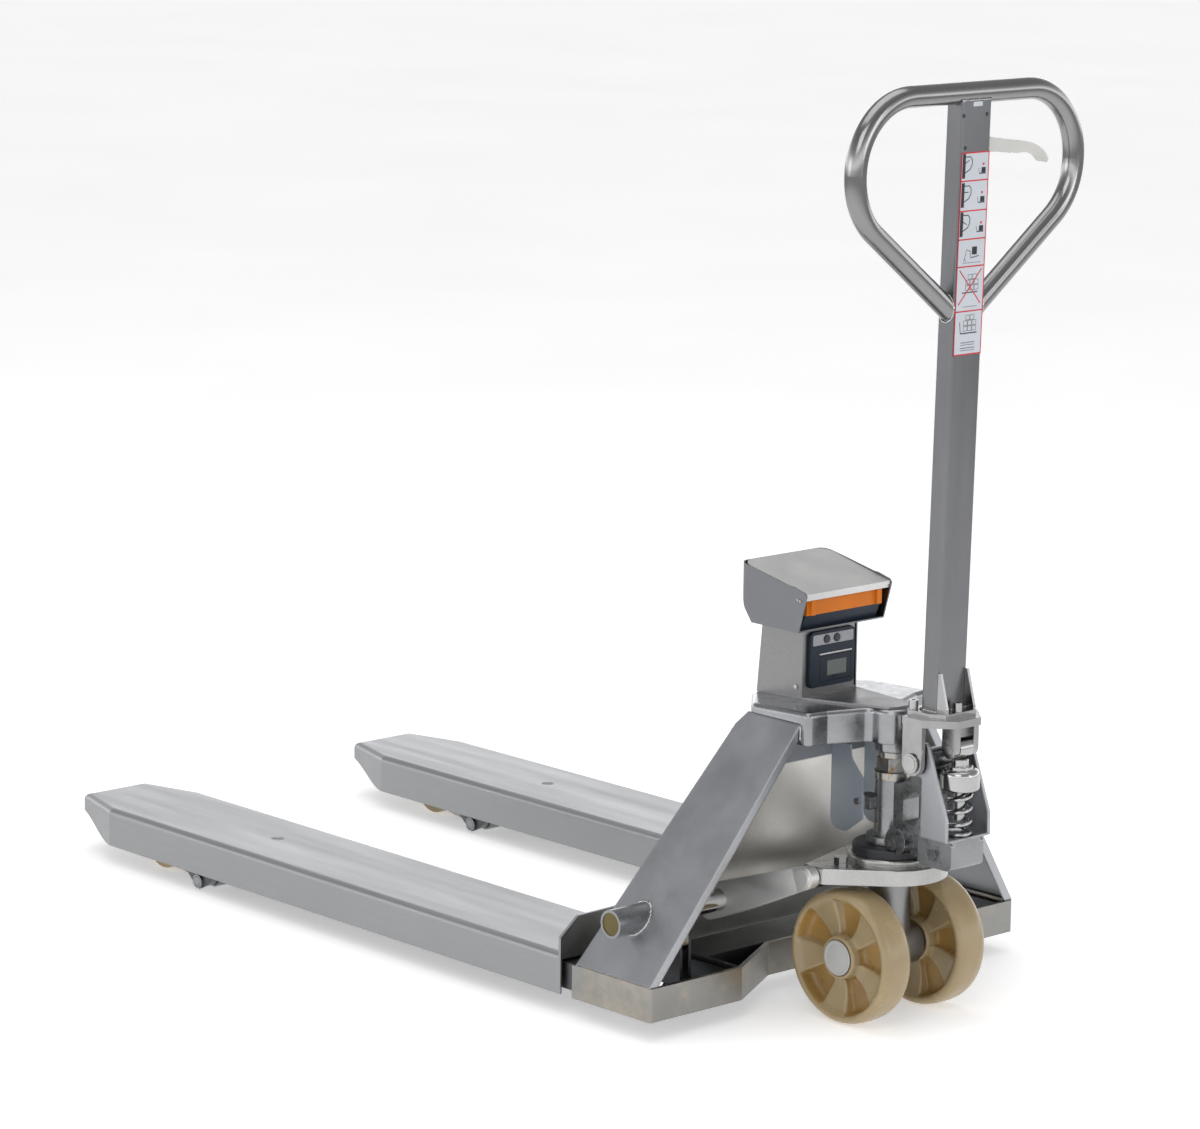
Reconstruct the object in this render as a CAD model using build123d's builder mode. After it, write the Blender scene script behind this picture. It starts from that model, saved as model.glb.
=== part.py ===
from build123d import *
import math
import os

os.makedirs("parts", exist_ok=True)

# ---------------------------------------------------------------- driving sizes
# x runs from the handle end to the fork tips, y across the forks, z up from the floor.
STEER_X = -609.5          # steering axis
FORK_REAR = STEER_X + 265
FORK_TIP = STEER_X + 1362
FORK_Y = 259.4            # centre line of each fork
FORK_W = 167.0
FORK_TOP = 83.0
SKIRT_Z = 27.5
SKIN = 3.0
FOLD_R = 9.0
NOSE_L = 100.0
NOSE_IN = 28.0
NOSE_RISE = 30.0
SCREW_X = STEER_X + 968
SCREW_R = 9.5

INNER_HALF = 75.0         # inner fork, half width
INNER_T = 4.0
INNER_TOP = 70.0
INNER_LOW = 34.0
INNER_TIP = STEER_X + 1264
WINDOW_X0 = STEER_X + 1148
WINDOW_X1 = STEER_X + 1238
WINDOW_HALF = 54.0
FOOT_R = 9.0              # load cell foot

LIFT = 110.0
SHAFT_X = STEER_X + 169   # rocker shaft
SHAFT_Z = 143.0
SHAFT_R = 15.0
EAR_X = STEER_X + 30
EAR_Z = 197.0
ROD_Y = 234.4
ROD_Z = 54.0
ROD_R = 6.0
LEVER_DROP = 42.0         # shaft axis down to the rod pin line
HALF_TRAVEL = 16.6        # half of the push rod's travel
REAR_PIN_X = SHAFT_X - HALF_TRAVEL
REAR_PIN_Z = SHAFT_Z - LEVER_DROP
PIVOT_X = STEER_X + 1056  # load roller carrier pivot
PIVOT_Z = 15.0
TUBE_R = 10.0
PIVOT_PIN_R = 7.0
ROLLER_X = PIVOT_X + 137.3
ROLLER_R = 37.0
ROLLER_HALF = 37.5
AXLE_R = 9.0
FRONT_PIN_X = PIVOT_X - HALF_TRAVEL
ROD_PIN_R = 5.0

BAR_LOW = 27.5            # rear crossbar
BAR_TOP = 72.5
BAR_T = 6.0
CORNER_X = STEER_X + 91.5
NOTCH_X = STEER_X + 152.6
SIDE_Y = 342.9
STRAP_T = 3.0
STRAP_DEPTH = 12.0        # depth of the strap's turned edges
STRAP_FOOT_Z = 72.5
STRAP_HEAD_Z = 399.0
STRAP_HEAD_Y = 113.0
YOKE_LOW = 368.0
YOKE_TOP = 420.0
YOKE_HALF = 115.0
COLUMN_TOP = 505.0
COLUMN_HALF = 51.0
ROOF_TILT = 2.43          # roof of the frame's head falls towards the forks
ROOF_TAIL = 415.0
COLUMN_REAR = STEER_X + 120
COLUMN_FRONT = STEER_X + 203

WHEEL_R = 90.0
WHEEL_HALF = 25.0
WHEEL_Y = 70.0
AXLE_Z = 90.0
STEM_R = 28.0
RUN = 0.4                 # running gap between bodies
BASE_LOW = 190.0
BASE_TOP = 211.0
SEAT_TOP = 219.0
BEARING_TOP = 232.0
RAM_R = 14.0
SEAL_TOP = 354.5
TILT_X = STEER_X - 82     # tiller pivot
TILT_Z = 360.0
TILT_PIN_R = 10.0
SPRING_X = STEER_X - 120
SPRING_SEAT = 262.0
ROLL_X = STEER_X - 119
ROLL_Z = 380.0
ROLL_R = 13.0
FOOT_TOP = 426.5
LEAN = 1.2                # the handle leans back a little


def fx(distance):
    """Position along x, counted from the steering axis."""
    return STEER_X + distance


# ---------------------------------------------------------------- weigh forks
with BuildPart() as weigh_fork_left:
    with BuildSketch(Plane.XY.offset(SKIRT_Z)):
        with BuildLine():
            Polyline(
                (FORK_REAR, FORK_Y - FORK_W / 2),
                (FORK_TIP - NOSE_L, FORK_Y - FORK_W / 2),
                (FORK_TIP, FORK_Y - FORK_W / 2 + NOSE_IN),
                (FORK_TIP, FORK_Y + FORK_W / 2 - NOSE_IN),
                (FORK_TIP - NOSE_L, FORK_Y + FORK_W / 2),
                (FORK_REAR, FORK_Y + FORK_W / 2),
                close=True,
            )
        make_face()
    extrude(amount=FORK_TOP - SKIRT_Z)
    rim = weigh_fork_left.edges().group_by(Axis.Z)[-1].filter_by_position(Axis.X, FORK_REAR + 1, FORK_TIP + 1)
    fillet(rim, FOLD_R)
    inner_half = FORK_W / 2 - SKIN
    with BuildSketch(Plane.XY.offset(SKIRT_Z)):
        with BuildLine():
            Polyline(
                (FORK_REAR, FORK_Y - inner_half),
                (FORK_TIP - NOSE_L - 0.5, FORK_Y - inner_half),
                (FORK_TIP - SKIN, FORK_Y - inner_half + NOSE_IN),
                (FORK_TIP - SKIN, FORK_Y + inner_half - NOSE_IN),
                (FORK_TIP - NOSE_L - 0.5, FORK_Y + inner_half),
                (FORK_REAR, FORK_Y + inner_half),
                close=True,
            )
        make_face()
    extrude(amount=FORK_TOP - SKIRT_Z - SKIN - 2 * SKIN / 3, mode=Mode.SUBTRACT)
    with BuildSketch(Plane.XY.offset(SKIRT_Z)):
        with Locations(((FORK_REAR + FORK_TIP - NOSE_L) / 2, FORK_Y)):
            Rectangle(FORK_TIP - NOSE_L - FORK_REAR, 2 * inner_half - 2 * FOLD_R + 2 * SKIN)
    extrude(amount=FORK_TOP - SKIRT_Z - SKIN, mode=Mode.SUBTRACT)
    with BuildSketch(Plane.XZ.offset(-FORK_Y)):
        with BuildLine():
            Spline(
                (FORK_TIP - NOSE_L, SKIRT_Z),
                (FORK_TIP - NOSE_L / 2, SKIRT_Z + NOSE_RISE / 2.4),
                (FORK_TIP + 1, SKIRT_Z + NOSE_RISE),
                tangents=((1, 0), (1, 0.18)),
            )
            Polyline(
                (FORK_TIP + 1, SKIRT_Z + NOSE_RISE),
                (FORK_TIP + 1, SKIRT_Z - 5),
                (FORK_TIP - NOSE_L, SKIRT_Z - 5),
                (FORK_TIP - NOSE_L, SKIRT_Z),
            )
        make_face()
    extrude(amount=FORK_W, both=True, mode=Mode.SUBTRACT)
    # upright plate across the rear end, clear of the strap's foot
    with BuildSketch(Plane.YZ.offset(FORK_REAR)):
        with BuildLine():
            Polyline(
                (FORK_Y + FORK_W / 2, FORK_TOP - FOLD_R),
                (FORK_Y + FORK_W / 2, 104),
                (312, 129),
                (190, 131),
                (176, 120),
                (176, FORK_TOP - FOLD_R),
                close=True,
            )
        make_face()
    extrude(amount=4)
    with BuildSketch(Plane.XY.offset(FORK_TOP)):
        with Locations((SCREW_X, FORK_Y)):
            Circle(SCREW_R + 0.4)
    extrude(amount=-SKIN, taper=30, mode=Mode.SUBTRACT)
weigh_fork_left.part.label = "weigh_fork_left"
export_step(weigh_fork_left.part, "parts/weigh_fork_left.step")

with BuildPart() as weigh_fork_right:
    mirror(weigh_fork_left.part, about=Plane.XZ)
weigh_fork_right.part.label = "weigh_fork_right"
export_step(weigh_fork_right.part, "parts/weigh_fork_right.step")

# one countersunk screw in each fork, flush with the top
with BuildPart() as fork_screws:
    with BuildSketch(Plane.XY.offset(FORK_TOP - 0.2)):
        with Locations((SCREW_X, FORK_Y), (SCREW_X, -FORK_Y)):
            Circle(SCREW_R)
    extrude(amount=-(SKIN - 0.2), taper=30)
    with BuildSketch(Plane.XY.offset(FORK_TOP - 0.2)):
        with Locations((SCREW_X, FORK_Y), (SCREW_X, -FORK_Y)):
            Rectangle(2 * SCREW_R - 5, 2.4, rotation=35)
    extrude(amount=-1.4, mode=Mode.SUBTRACT)
fork_screws.part.label = "fork_screws"
export_step(fork_screws.part, "parts/fork_screws.step")

# ---------------------------------------------------------------- inner forks
with BuildPart() as inner_forks:
    with BuildSketch(Plane.XY.offset(INNER_TOP - INNER_T)):
        with Locations(((fx(232) + INNER_TIP) / 2, FORK_Y)):
            Rectangle(INNER_TIP - fx(232), 2 * INNER_HALF)
        with Locations(((WINDOW_X0 + WINDOW_X1) / 2, FORK_Y)):
            Rectangle(WINDOW_X1 - WINDOW_X0, 2 * WINDOW_HALF, mode=Mode.SUBTRACT)
        with Locations((fx(330), FORK_Y), (SCREW_X, FORK_Y)):
            Circle(FOOT_R + 1, mode=Mode.SUBTRACT)
    extrude(amount=INNER_T)
    for edge_y in (FORK_Y - INNER_HALF + INNER_T / 2, FORK_Y + INNER_HALF - INNER_T / 2):
        with BuildSketch(Plane.XZ.offset(-edge_y)):
            with BuildLine():
                Polyline(
                    (fx(110), INNER_LOW),
                    (PIVOT_X - 42, INNER_LOW),
                    (PIVOT_X - 9, PIVOT_Z - 8),
                    (PIVOT_X, PIVOT_Z - 12),
                    (PIVOT_X + 9, PIVOT_Z - 8),
                    (PIVOT_X + 40, INNER_LOW),
                    (INNER_TIP - 20, INNER_LOW),
                    (INNER_TIP, INNER_TOP - 12),
                    (INNER_TIP, INNER_TOP - INNER_T),
                    (fx(110), INNER_TOP - INNER_T),
                    close=True,
                )
            make_face()
        extrude(amount=INNER_T / 2, both=True)
    with BuildSketch(Plane.XZ.offset(-FORK_Y)):
        with Locations((PIVOT_X, PIVOT_Z)):
            Circle(TUBE_R)
    extrude(amount=INNER_HALF + 5, both=True, mode=Mode.SUBTRACT)
    mirror(about=Plane.XZ)
inner_forks.part.label = "inner_forks"
export_step(inner_forks.part, "parts/inner_forks.step")

# tube through the inner fork's lugs at each carrier, with its pin
with BuildPart() as carrier_pivots:
    for fork_y in (FORK_Y, -FORK_Y):
        with BuildSketch(Plane.XZ.offset(-fork_y)):
            with Locations((PIVOT_X, PIVOT_Z)):
                Circle(TUBE_R)
        extrude(amount=INNER_HALF + 4, both=True)
        for end in (1, -1):
            with BuildSketch(Plane.XZ.offset(-(fork_y + end * (INNER_HALF + 4)))):
                with Locations((PIVOT_X, PIVOT_Z)):
                    Circle(PIVOT_PIN_R + 0.6)
                    Circle(PIVOT_PIN_R, mode=Mode.SUBTRACT)
            extrude(amount=end * 2, mode=Mode.SUBTRACT)
carrier_pivots.part.label = "carrier_pivots"
export_step(carrier_pivots.part, "parts/carrier_pivots.step")

# beam load cells under the inner fork's top, each with a foot that carries the weigh fork
CELL_L = 124.0
CELL_H = 24.0
CELL_LOW = INNER_TOP - INNER_T - CELL_H
CELL_D0 = -10.0
CELL_D1 = 22.0
cell_spans = ((fx(300), fx(330)), (fx(884), SCREW_X))
with BuildPart() as load_cells:
    for cell_x, foot_x in cell_spans:
        for side in (1, -1):
            with BuildSketch(Plane.XY.offset(CELL_LOW)):
                with Locations((cell_x + CELL_L / 2, side * (FORK_Y + (CELL_D0 + CELL_D1) / 2))):
                    Rectangle(CELL_L, CELL_D1 - CELL_D0)
            extrude(amount=CELL_H)
            with BuildSketch(Plane.XZ.offset(-side * FORK_Y)):
                with Locations((cell_x + CELL_L / 2, CELL_LOW + CELL_H / 2)):
                    SlotOverall(46, 15)
            extrude(amount=CELL_D1 + 8, both=True, mode=Mode.SUBTRACT)
            with BuildSketch(Plane.XY.offset(CELL_LOW + CELL_H)):
                with Locations((foot_x, side * FORK_Y)):
                    Circle(FOOT_R)
            extrude(amount=FORK_TOP - SKIN - CELL_LOW - CELL_H)
load_cells.part.label = "load_cells"
export_step(load_cells.part, "parts/load_cells.step")

# ---------------------------------------------------------------- welded rear frame
with BuildPart() as rear_crossbar:
    with BuildSketch(Plane.XY.offset(BAR_LOW)):
        with BuildLine():
            Polyline(
                (fx(242), SIDE_Y),
                (CORNER_X, SIDE_Y),
                (CORNER_X, 179),
                (NOTCH_X, 70),
                (NOTCH_X, -70),
                (CORNER_X, -179),
                (CORNER_X, -SIDE_Y),
                (fx(242), -SIDE_Y),
                (fx(242), -SIDE_Y + BAR_T),
                (CORNER_X + BAR_T, -SIDE_Y + BAR_T),
                (CORNER_X + BAR_T, -181),
                (NOTCH_X + BAR_T, -72),
                (NOTCH_X + BAR_T, 72),
                (CORNER_X + BAR_T, 181),
                (CORNER_X + BAR_T, SIDE_Y - BAR_T),
                (fx(242), SIDE_Y - BAR_T),
                close=True,
            )
        make_face()
    extrude(amount=BAR_TOP - BAR_LOW)
    bends = rear_crossbar.edges().filter_by(Axis.Z).filter_by_position(Axis.X, CORNER_X - 0.1, CORNER_X + 0.1)
    fillet(bends.filter_by_position(Axis.Y, SIDE_Y - 0.1, SIDE_Y + 0.1), 5)
    bends = rear_crossbar.edges().filter_by(Axis.Z).filter_by_position(Axis.X, CORNER_X - 0.1, CORNER_X + 0.1)
    fillet(bends.filter_by_position(Axis.Y, -SIDE_Y - 0.1, -SIDE_Y + 0.1), 5)
rear_crossbar.part.label = "rear_crossbar"
export_step(rear_crossbar.part, "parts/rear_crossbar.step")

# sloping straps that carry the head of the frame, one each side
strap_rise = STRAP_HEAD_Z - STRAP_FOOT_Z
strap_in = SIDE_Y - STRAP_HEAD_Y
strap_len = math.hypot(strap_rise, strap_in)
strap_plane = Plane(
    origin=(0, SIDE_Y, STRAP_FOOT_Z),
    x_dir=(1, 0, 0),
    z_dir=(0, strap_rise / strap_len, strap_in / strap_len),
)
with BuildPart() as straps:
    with BuildSketch(strap_plane):
        with BuildLine():
            Polyline(
                (fx(94), 8),
                (fx(94), 0),
                (fx(57), -strap_len),
                (fx(152), -strap_len),
                (fx(166), -strap_len + 24),
                (fx(236), 0),
                (fx(236), 8),
                close=True,
            )
        make_face()
    extrude(amount=-STRAP_DEPTH)
    # pressed channel: the skin with both long edges turned inwards
    with BuildSketch(strap_plane.offset(-STRAP_T)):
        with BuildLine():
            Polyline(
                (fx(94) + STRAP_T, 40),
                (fx(94) + STRAP_T, 0),
                (fx(57) + STRAP_T, -strap_len - 20),
                (fx(150) - STRAP_T, -strap_len - 20),
                (fx(164) - STRAP_T, -strap_len + 24),
                (fx(236) - STRAP_T, 0),
                (fx(236) - STRAP_T, 40),
                close=True,
            )
        make_face()
    extrude(amount=-STRAP_DEPTH, mode=Mode.SUBTRACT)
    # foot trimmed level above the crossbar, head trimmed against the yoke
    with BuildSketch(Plane.XY.offset(BAR_TOP)):
        with Locations((fx(160), SIDE_Y)):
            Rectangle(400, 60)
    extrude(amount=-40, mode=Mode.SUBTRACT)
    with BuildSketch(Plane.XY.offset(YOKE_LOW - 10)):
        with Locations((fx(100), 0)):
            Rectangle(400, 2 * YOKE_HALF)
    extrude(amount=80, mode=Mode.SUBTRACT)
    with BuildSketch(Plane.XZ.offset(-SIDE_Y)):
        with Locations((SHAFT_X, SHAFT_Z)):
            Circle(19)
    extrude(amount=90, both=True, mode=Mode.SUBTRACT)
    mirror(about=Plane.XZ)
straps.part.label = "straps"
export_step(straps.part, "parts/straps.step")

# shaft bosses through the straps
with BuildPart() as shaft_bosses:
    for side in (1, -1):
        with BuildSketch(Plane.XZ.offset(-side * SIDE_Y)):
            with Locations((SHAFT_X, SHAFT_Z)):
                Circle(19)
                Circle(SHAFT_R + RUN, mode=Mode.SUBTRACT)
        extrude(amount=side * 62)
shaft_bosses.part.label = "shaft_bosses"
export_step(shaft_bosses.part, "parts/shaft_bosses.step")

with BuildPart() as boss_plugs:
    for side in (1, -1):
        with BuildSketch(Plane.XZ.offset(-side * (SIDE_Y - 1))):
            with Locations((SHAFT_X, SHAFT_Z)):
                Circle(SHAFT_R + RUN)
        extrude(amount=side * 4)
boss_plugs.part.label = "boss_plugs"
export_step(boss_plugs.part, "parts/boss_plugs.step")

# sloping panel between the straps' front edges
panel_run = 73.0
PANEL_BEND_Z = 306.0      # the panel stands upright above this height
panel_len = math.hypot(panel_run, strap_rise)
panel_plane = Plane(
    origin=(fx(236), 0, STRAP_FOOT_Z),
    x_dir=(0, 1, 0),
    z_dir=(strap_rise / panel_len, 0, panel_run / panel_len),
)
PANEL_FOOT_HALF = 326.0
PANEL_HEAD_HALF = 96.0
with BuildPart() as front_panel:
    with BuildSketch(panel_plane):
        with BuildLine():
            Polyline(
                (-PANEL_FOOT_HALF, 0),
                (PANEL_FOOT_HALF, 0),
                (PANEL_HEAD_HALF, panel_len),
                (-PANEL_HEAD_HALF, panel_len),
                close=True,
            )
        make_face()
    extrude(amount=-4)
    with BuildSketch(Plane.XY.offset(PANEL_BEND_Z)):
        with Locations((fx(160), 0)):
            Rectangle(140, 700)
    extrude(amount=140, mode=Mode.SUBTRACT)
    bend_x = fx(236) - panel_run * (PANEL_BEND_Z - STRAP_FOOT_Z) / strap_rise
    bend_share = (PANEL_BEND_Z - STRAP_FOOT_Z) / strap_rise
    bend_half = PANEL_FOOT_HALF - (PANEL_FOOT_HALF - PANEL_HEAD_HALF) * bend_share
    top_half = PANEL_HEAD_HALF + 20
    with BuildSketch(Plane.YZ.offset(bend_x)):
        with BuildLine():
            Polyline(
                (-bend_half, PANEL_BEND_Z),
                (bend_half, PANEL_BEND_Z),
                (top_half, YOKE_LOW),
                (-top_half, YOKE_LOW),
                close=True,
            )
        make_face()
    extrude(amount=-4)
front_panel.part.label = "front_panel"
export_step(front_panel.part, "parts/front_panel.step")

# pan between the crossbar and the panel's foot, with its walls and the floors of the corner boxes
WALL_Y = 182.0            # outer face of the pan's side walls, beside the inner forks
PAN_REAR = NOTCH_X + BAR_T
with BuildPart() as frame_webs:
    with BuildSketch(Plane.XY.offset(BAR_TOP)):
        with Locations(((PAN_REAR + fx(231)) / 2, 0)):
            Rectangle(fx(231) - PAN_REAR, 2 * WALL_Y)
    extrude(amount=-4)
    for side in (1, -1):
        # the crossbar's middle line carried on as an upright plate behind each bent corner
        with BuildSketch(Plane.YZ.offset(PAN_REAR)):
            with BuildLine():
                Polyline(
                    (side * 72, BAR_LOW + 2),
                    (side * 72, BAR_TOP),
                    (side * WALL_Y, BAR_TOP),
                    (side * WALL_Y, BAR_LOW + 2),
                    close=True,
                )
            make_face()
        extrude(amount=4)
        with BuildSketch(Plane.XZ.offset(-side * WALL_Y)):
            with BuildLine():
                Polyline(
                    (CORNER_X + BAR_T + 3, BAR_LOW + 2),
                    (CORNER_X + BAR_T + 3, BAR_TOP),
                    (fx(231), BAR_TOP),
                    (fx(231), BAR_LOW + 2),
                    close=True,
                )
            make_face()
        extrude(amount=side * 4)
        with BuildSketch(Plane.XY.offset(BAR_LOW + 2)):
            with BuildLine():
                Polyline(
                    (CORNER_X + BAR_T, side * (SIDE_Y - BAR_T)),
                    (fx(109), side * (SIDE_Y - BAR_T)),
                    (fx(228), side * 182),
                    (fx(228), side * 60),
                    (PAN_REAR, side * 60),
                    (PAN_REAR, side * 72),
                    (CORNER_X + BAR_T, side * 181),
                    close=True,
                )
            make_face()
        extrude(amount=4)
frame_webs.part.label = "frame_webs"
export_step(frame_webs.part, "parts/frame_webs.step")

# head of the frame: broad behind the straps, narrowing to a nose over the pump
NOSE_R = 30.0
roof = math.radians(ROOF_TILT)
roof_plane = Plane(
    origin=(fx(-35), 0, ROOF_TAIL),
    x_dir=(math.cos(roof), 0, -math.sin(roof)),
    z_dir=(math.sin(roof), 0, math.cos(roof)),
)


def on_roof(distance):
    """Roof plane's own x for a distance counted from the steering axis."""
    return (distance + 35) / math.cos(roof)


def roof_z(distance):
    """Height of the roof at a distance counted from the steering axis."""
    return ROOF_TAIL - (distance + 35) * math.tan(roof)


with BuildPart() as yoke:
    with BuildSketch(Plane.XY.offset(YOKE_LOW)):
        with BuildLine():
            Polyline(
                (fx(207), 58),
                (fx(150), YOKE_HALF),
                (fx(44), YOKE_HALF),
                (fx(38.5), 84),
                (fx(15), NOSE_R),
                (fx(2), NOSE_R),
                (fx(2), -NOSE_R),
                (fx(15), -NOSE_R),
                (fx(38.5), -84),
                (fx(44), -YOKE_HALF),
                (fx(150), -YOKE_HALF),
                (fx(207), -58),
                close=True,
            )
        make_face()
        with Locations((fx(2), 0)):
            Circle(NOSE_R)
    extrude(amount=YOKE_TOP - YOKE_LOW)
    shoulder = yoke.edges().filter_by(Axis.Z).filter_by_position(Axis.X, fx(43), fx(45))
    fillet(shoulder, 9)
    hollow = yoke.edges().filter_by(Axis.Z).filter_by_position(Axis.X, fx(14), fx(16))
    fillet(hollow, 12)
    bow = yoke.edges().filter_by(Axis.Z).filter_by_position(Axis.X, fx(149), fx(151))
    fillet(bow, 20)
    # roof falls gently towards the forks
    with BuildSketch(roof_plane):
        with Locations((150, 0)):
            Rectangle(360, 2 * YOKE_HALF + 40)
    extrude(amount=40, mode=Mode.SUBTRACT)
    fillet(yoke.faces().sort_by(Axis.Z)[-1].outer_wire().edges(), 7)
    with BuildSketch(Plane.XY.offset(YOKE_LOW)):
        with Locations((fx(0), 0)):
            Circle(24)
    extrude(amount=-12)
    # hollow under the broad part
    with BuildSketch(Plane.XY.offset(YOKE_LOW)):
        with Locations((fx(112), 0)):
            Rectangle(86, 2 * YOKE_HALF - 24)
    extrude(amount=24, mode=Mode.SUBTRACT)
    with BuildSketch(Plane.XY.offset(YOKE_LOW - 12)):
        with Locations((fx(0), 0)):
            Circle(RAM_R)
    extrude(amount=30, mode=Mode.SUBTRACT)
yoke.part.label = "yoke"
export_step(yoke.part, "parts/yoke.step")

with BuildPart() as ram:
    with BuildSketch(Plane.XY.offset(205)):
        with Locations((STEER_X, 0)):
            Circle(RAM_R)
    extrude(amount=YOKE_LOW + 18 - 205)
ram.part.label = "ram"
export_step(ram.part, "parts/ram.step")

# cover plate on the roof, with a row of vents beside the column
with BuildPart() as yoke_cover:
    with BuildSketch(roof_plane):
        with BuildLine():
            Polyline(
                (on_roof(119.5), 52),
                (on_roof(-12), 22),
                (on_roof(-18), 12),
                (on_roof(-18), -12),
                (on_roof(-12), -22),
                (on_roof(119.5), -52),
                close=True,
            )
        make_face()
    extrude(amount=3)
    with BuildSketch(roof_plane.offset(1.6)):
        with Locations((on_roof(105), 0)):
            with GridLocations(0, 7.5, 1, 7):
                SlotOverall(17, 3.4, rotation=20)
    extrude(amount=3, mode=Mode.SUBTRACT)
yoke_cover.part.label = "yoke_cover"
export_step(yoke_cover.part, "parts/yoke_cover.step")

# ---------------------------------------------------------------- indicator column and head
PRINTER_HALF = 41.5
PRINTER_LOW = 422.0
PRINTER_TOP = 497.0
KEYS_Y = (12.0, -7.0)     # feed key, print key
KEYS_Z = 485.8
BAY_Y = -5.0
BAY_Z = 446.0
with BuildPart() as column:
    with BuildSketch(Plane.XZ.offset(COLUMN_HALF)):
        with BuildLine():
            Polyline(
                (COLUMN_REAR, roof_z(120)),
                (fx(205), roof_z(205)),
                (fx(196), COLUMN_TOP),
                (COLUMN_REAR, COLUMN_TOP),
                close=True,
            )
        make_face()
    extrude(amount=-2 * COLUMN_HALF)
    with BuildSketch(Plane.XZ.offset(COLUMN_HALF - 2)):
        with BuildLine():
            Polyline(
                (COLUMN_REAR - 1, roof_z(120) + 6),
                (fx(202), roof_z(202) + 6),
                (fx(194), COLUMN_TOP + 1),
                (COLUMN_REAR - 1, COLUMN_TOP + 1),
                close=True,
            )
        make_face()
    extrude(amount=-2 * COLUMN_HALF + 4, mode=Mode.SUBTRACT)
    # rear wall round the printer, stopping short of the right side
    with BuildSketch(Plane.YZ.offset(COLUMN_REAR)):
        with BuildLine():
            Polyline(
                (COLUMN_HALF - 1, roof_z(120) + 2),
                (COLUMN_HALF - 1, COLUMN_TOP),
                (-COLUMN_HALF + 5, COLUMN_TOP),
                (-COLUMN_HALF + 5, roof_z(120) + 2),
                close=True,
            )
        make_face()
        with Locations((0, (PRINTER_LOW + PRINTER_TOP) / 2)):
            RectangleRounded(2 * PRINTER_HALF + 1, PRINTER_TOP - PRINTER_LOW + 1, 7.5, mode=Mode.SUBTRACT)
    extrude(amount=1.6)
column.part.label = "column"
export_step(column.part, "parts/column.step")

PRINTER_REAR = fx(115)
with BuildPart() as printer_body:
    with BuildSketch(Plane.YZ.offset(PRINTER_REAR)):
        with Locations((0, (PRINTER_LOW + PRINTER_TOP) / 2)):
            RectangleRounded(2 * PRINTER_HALF, PRINTER_TOP - PRINTER_LOW, 7)
    extrude(amount=48)
    # paper bay behind the door, keyboard strip recess on top
    with BuildSketch(Plane.YZ.offset(PRINTER_REAR)):
        with Locations((BAY_Y, BAY_Z)):
            Rectangle(58, 35)
    extrude(amount=34, mode=Mode.SUBTRACT)
    with BuildSketch(Plane.YZ.offset(PRINTER_REAR)):
        with Locations((-0.5, KEYS_Z)):
            Rectangle(76, 15)
    extrude(amount=1.5, mode=Mode.SUBTRACT)
    with BuildSketch(Plane.YZ.offset(PRINTER_REAR)):
        with Locations((KEYS_Y[0], KEYS_Z), (KEYS_Y[1], KEYS_Z)):
            Circle(5.7)
    extrude(amount=9, mode=Mode.SUBTRACT)
printer_body.part.label = "printer_body"
export_step(printer_body.part, "parts/printer_body.step")

with BuildPart() as printer_strip:
    with BuildSketch(Plane.YZ.offset(PRINTER_REAR - 0.4)):
        with Locations((-0.5, KEYS_Z)):
            RectangleRounded(75, 14.4, 1.5)
        with Locations((KEYS_Y[0], KEYS_Z), (KEYS_Y[1], KEYS_Z)):
            Circle(5.7, mode=Mode.SUBTRACT)
    extrude(amount=1.9)
printer_strip.part.label = "printer_strip"
export_step(printer_strip.part, "parts/printer_strip.step")

for key_name, key_y in (("feed_key", KEYS_Y[0]), ("print_key", KEYS_Y[1])):
    with BuildPart() as key:
        with BuildSketch(Plane.YZ.offset(PRINTER_REAR - 2)):
            with Locations((key_y, KEYS_Z)):
                Circle(5.2)
        extrude(amount=8.5)
    key.part.label = key_name
    export_step(key.part, f"parts/{key_name}.step")

with BuildPart() as printer_door:
    with BuildSketch(Plane.YZ.offset(PRINTER_REAR)):
        with Locations((BAY_Y, BAY_Z)):
            Rectangle(57, 34)
    extrude(amount=3)
    with BuildSketch(Plane.YZ.offset(PRINTER_REAR)):
        with Locations((BAY_Y - 3, BAY_Z)):
            RectangleRounded(38, 22, 2)
    extrude(amount=1.4, mode=Mode.SUBTRACT)
    with BuildSketch(Plane.YZ.offset(PRINTER_REAR)):
        with Locations((BAY_Y - 3, BAY_Z - 12.5)):
            RectangleRounded(11, 3.4, 1)
    extrude(amount=-1.2)
printer_door.part.label = "printer_door"
export_step(printer_door.part, "parts/printer_door.step")

with BuildPart() as paper_roll:
    with BuildSketch(Plane.XZ.offset(-(BAY_Y + 25))):
        with Locations((PRINTER_REAR + 19, BAY_Z)):
            Circle(13)
            Circle(5, mode=Mode.SUBTRACT)
    extrude(amount=50)
paper_roll.part.label = "paper_roll"
export_step(paper_roll.part, "parts/paper_roll.step")

# hood: tray with rounded front corners that tapers down to the column, open to the rear
HOOD_HALF = 80.0
HOOD_T = 2.0
HOOD_R = 14.0
LID_FRONT_Z = 585.0
LID_REAR_Z = 556.0
with BuildPart() as hood_inside:
    with BuildSketch(Plane.XY.offset(COLUMN_TOP)):
        with Locations((fx(211) - 100, 0)):
            RectangleRounded(200, 2 * HOOD_HALF - 2 * HOOD_T, HOOD_R - HOOD_T)
    extrude(amount=95)
    with BuildSketch(Plane.XZ.offset(HOOD_HALF)):
        with BuildLine():
            Polyline(
                (fx(60), COLUMN_TOP + HOOD_T),
                (fx(187), COLUMN_TOP + HOOD_T),
                (fx(202), 527),
                (fx(211), 551),
                (fx(211), 600),
                (fx(60), 600),
                close=True,
            )
        make_face()
    extrude(amount=-2 * HOOD_HALF, mode=Mode.INTERSECT)

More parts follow.
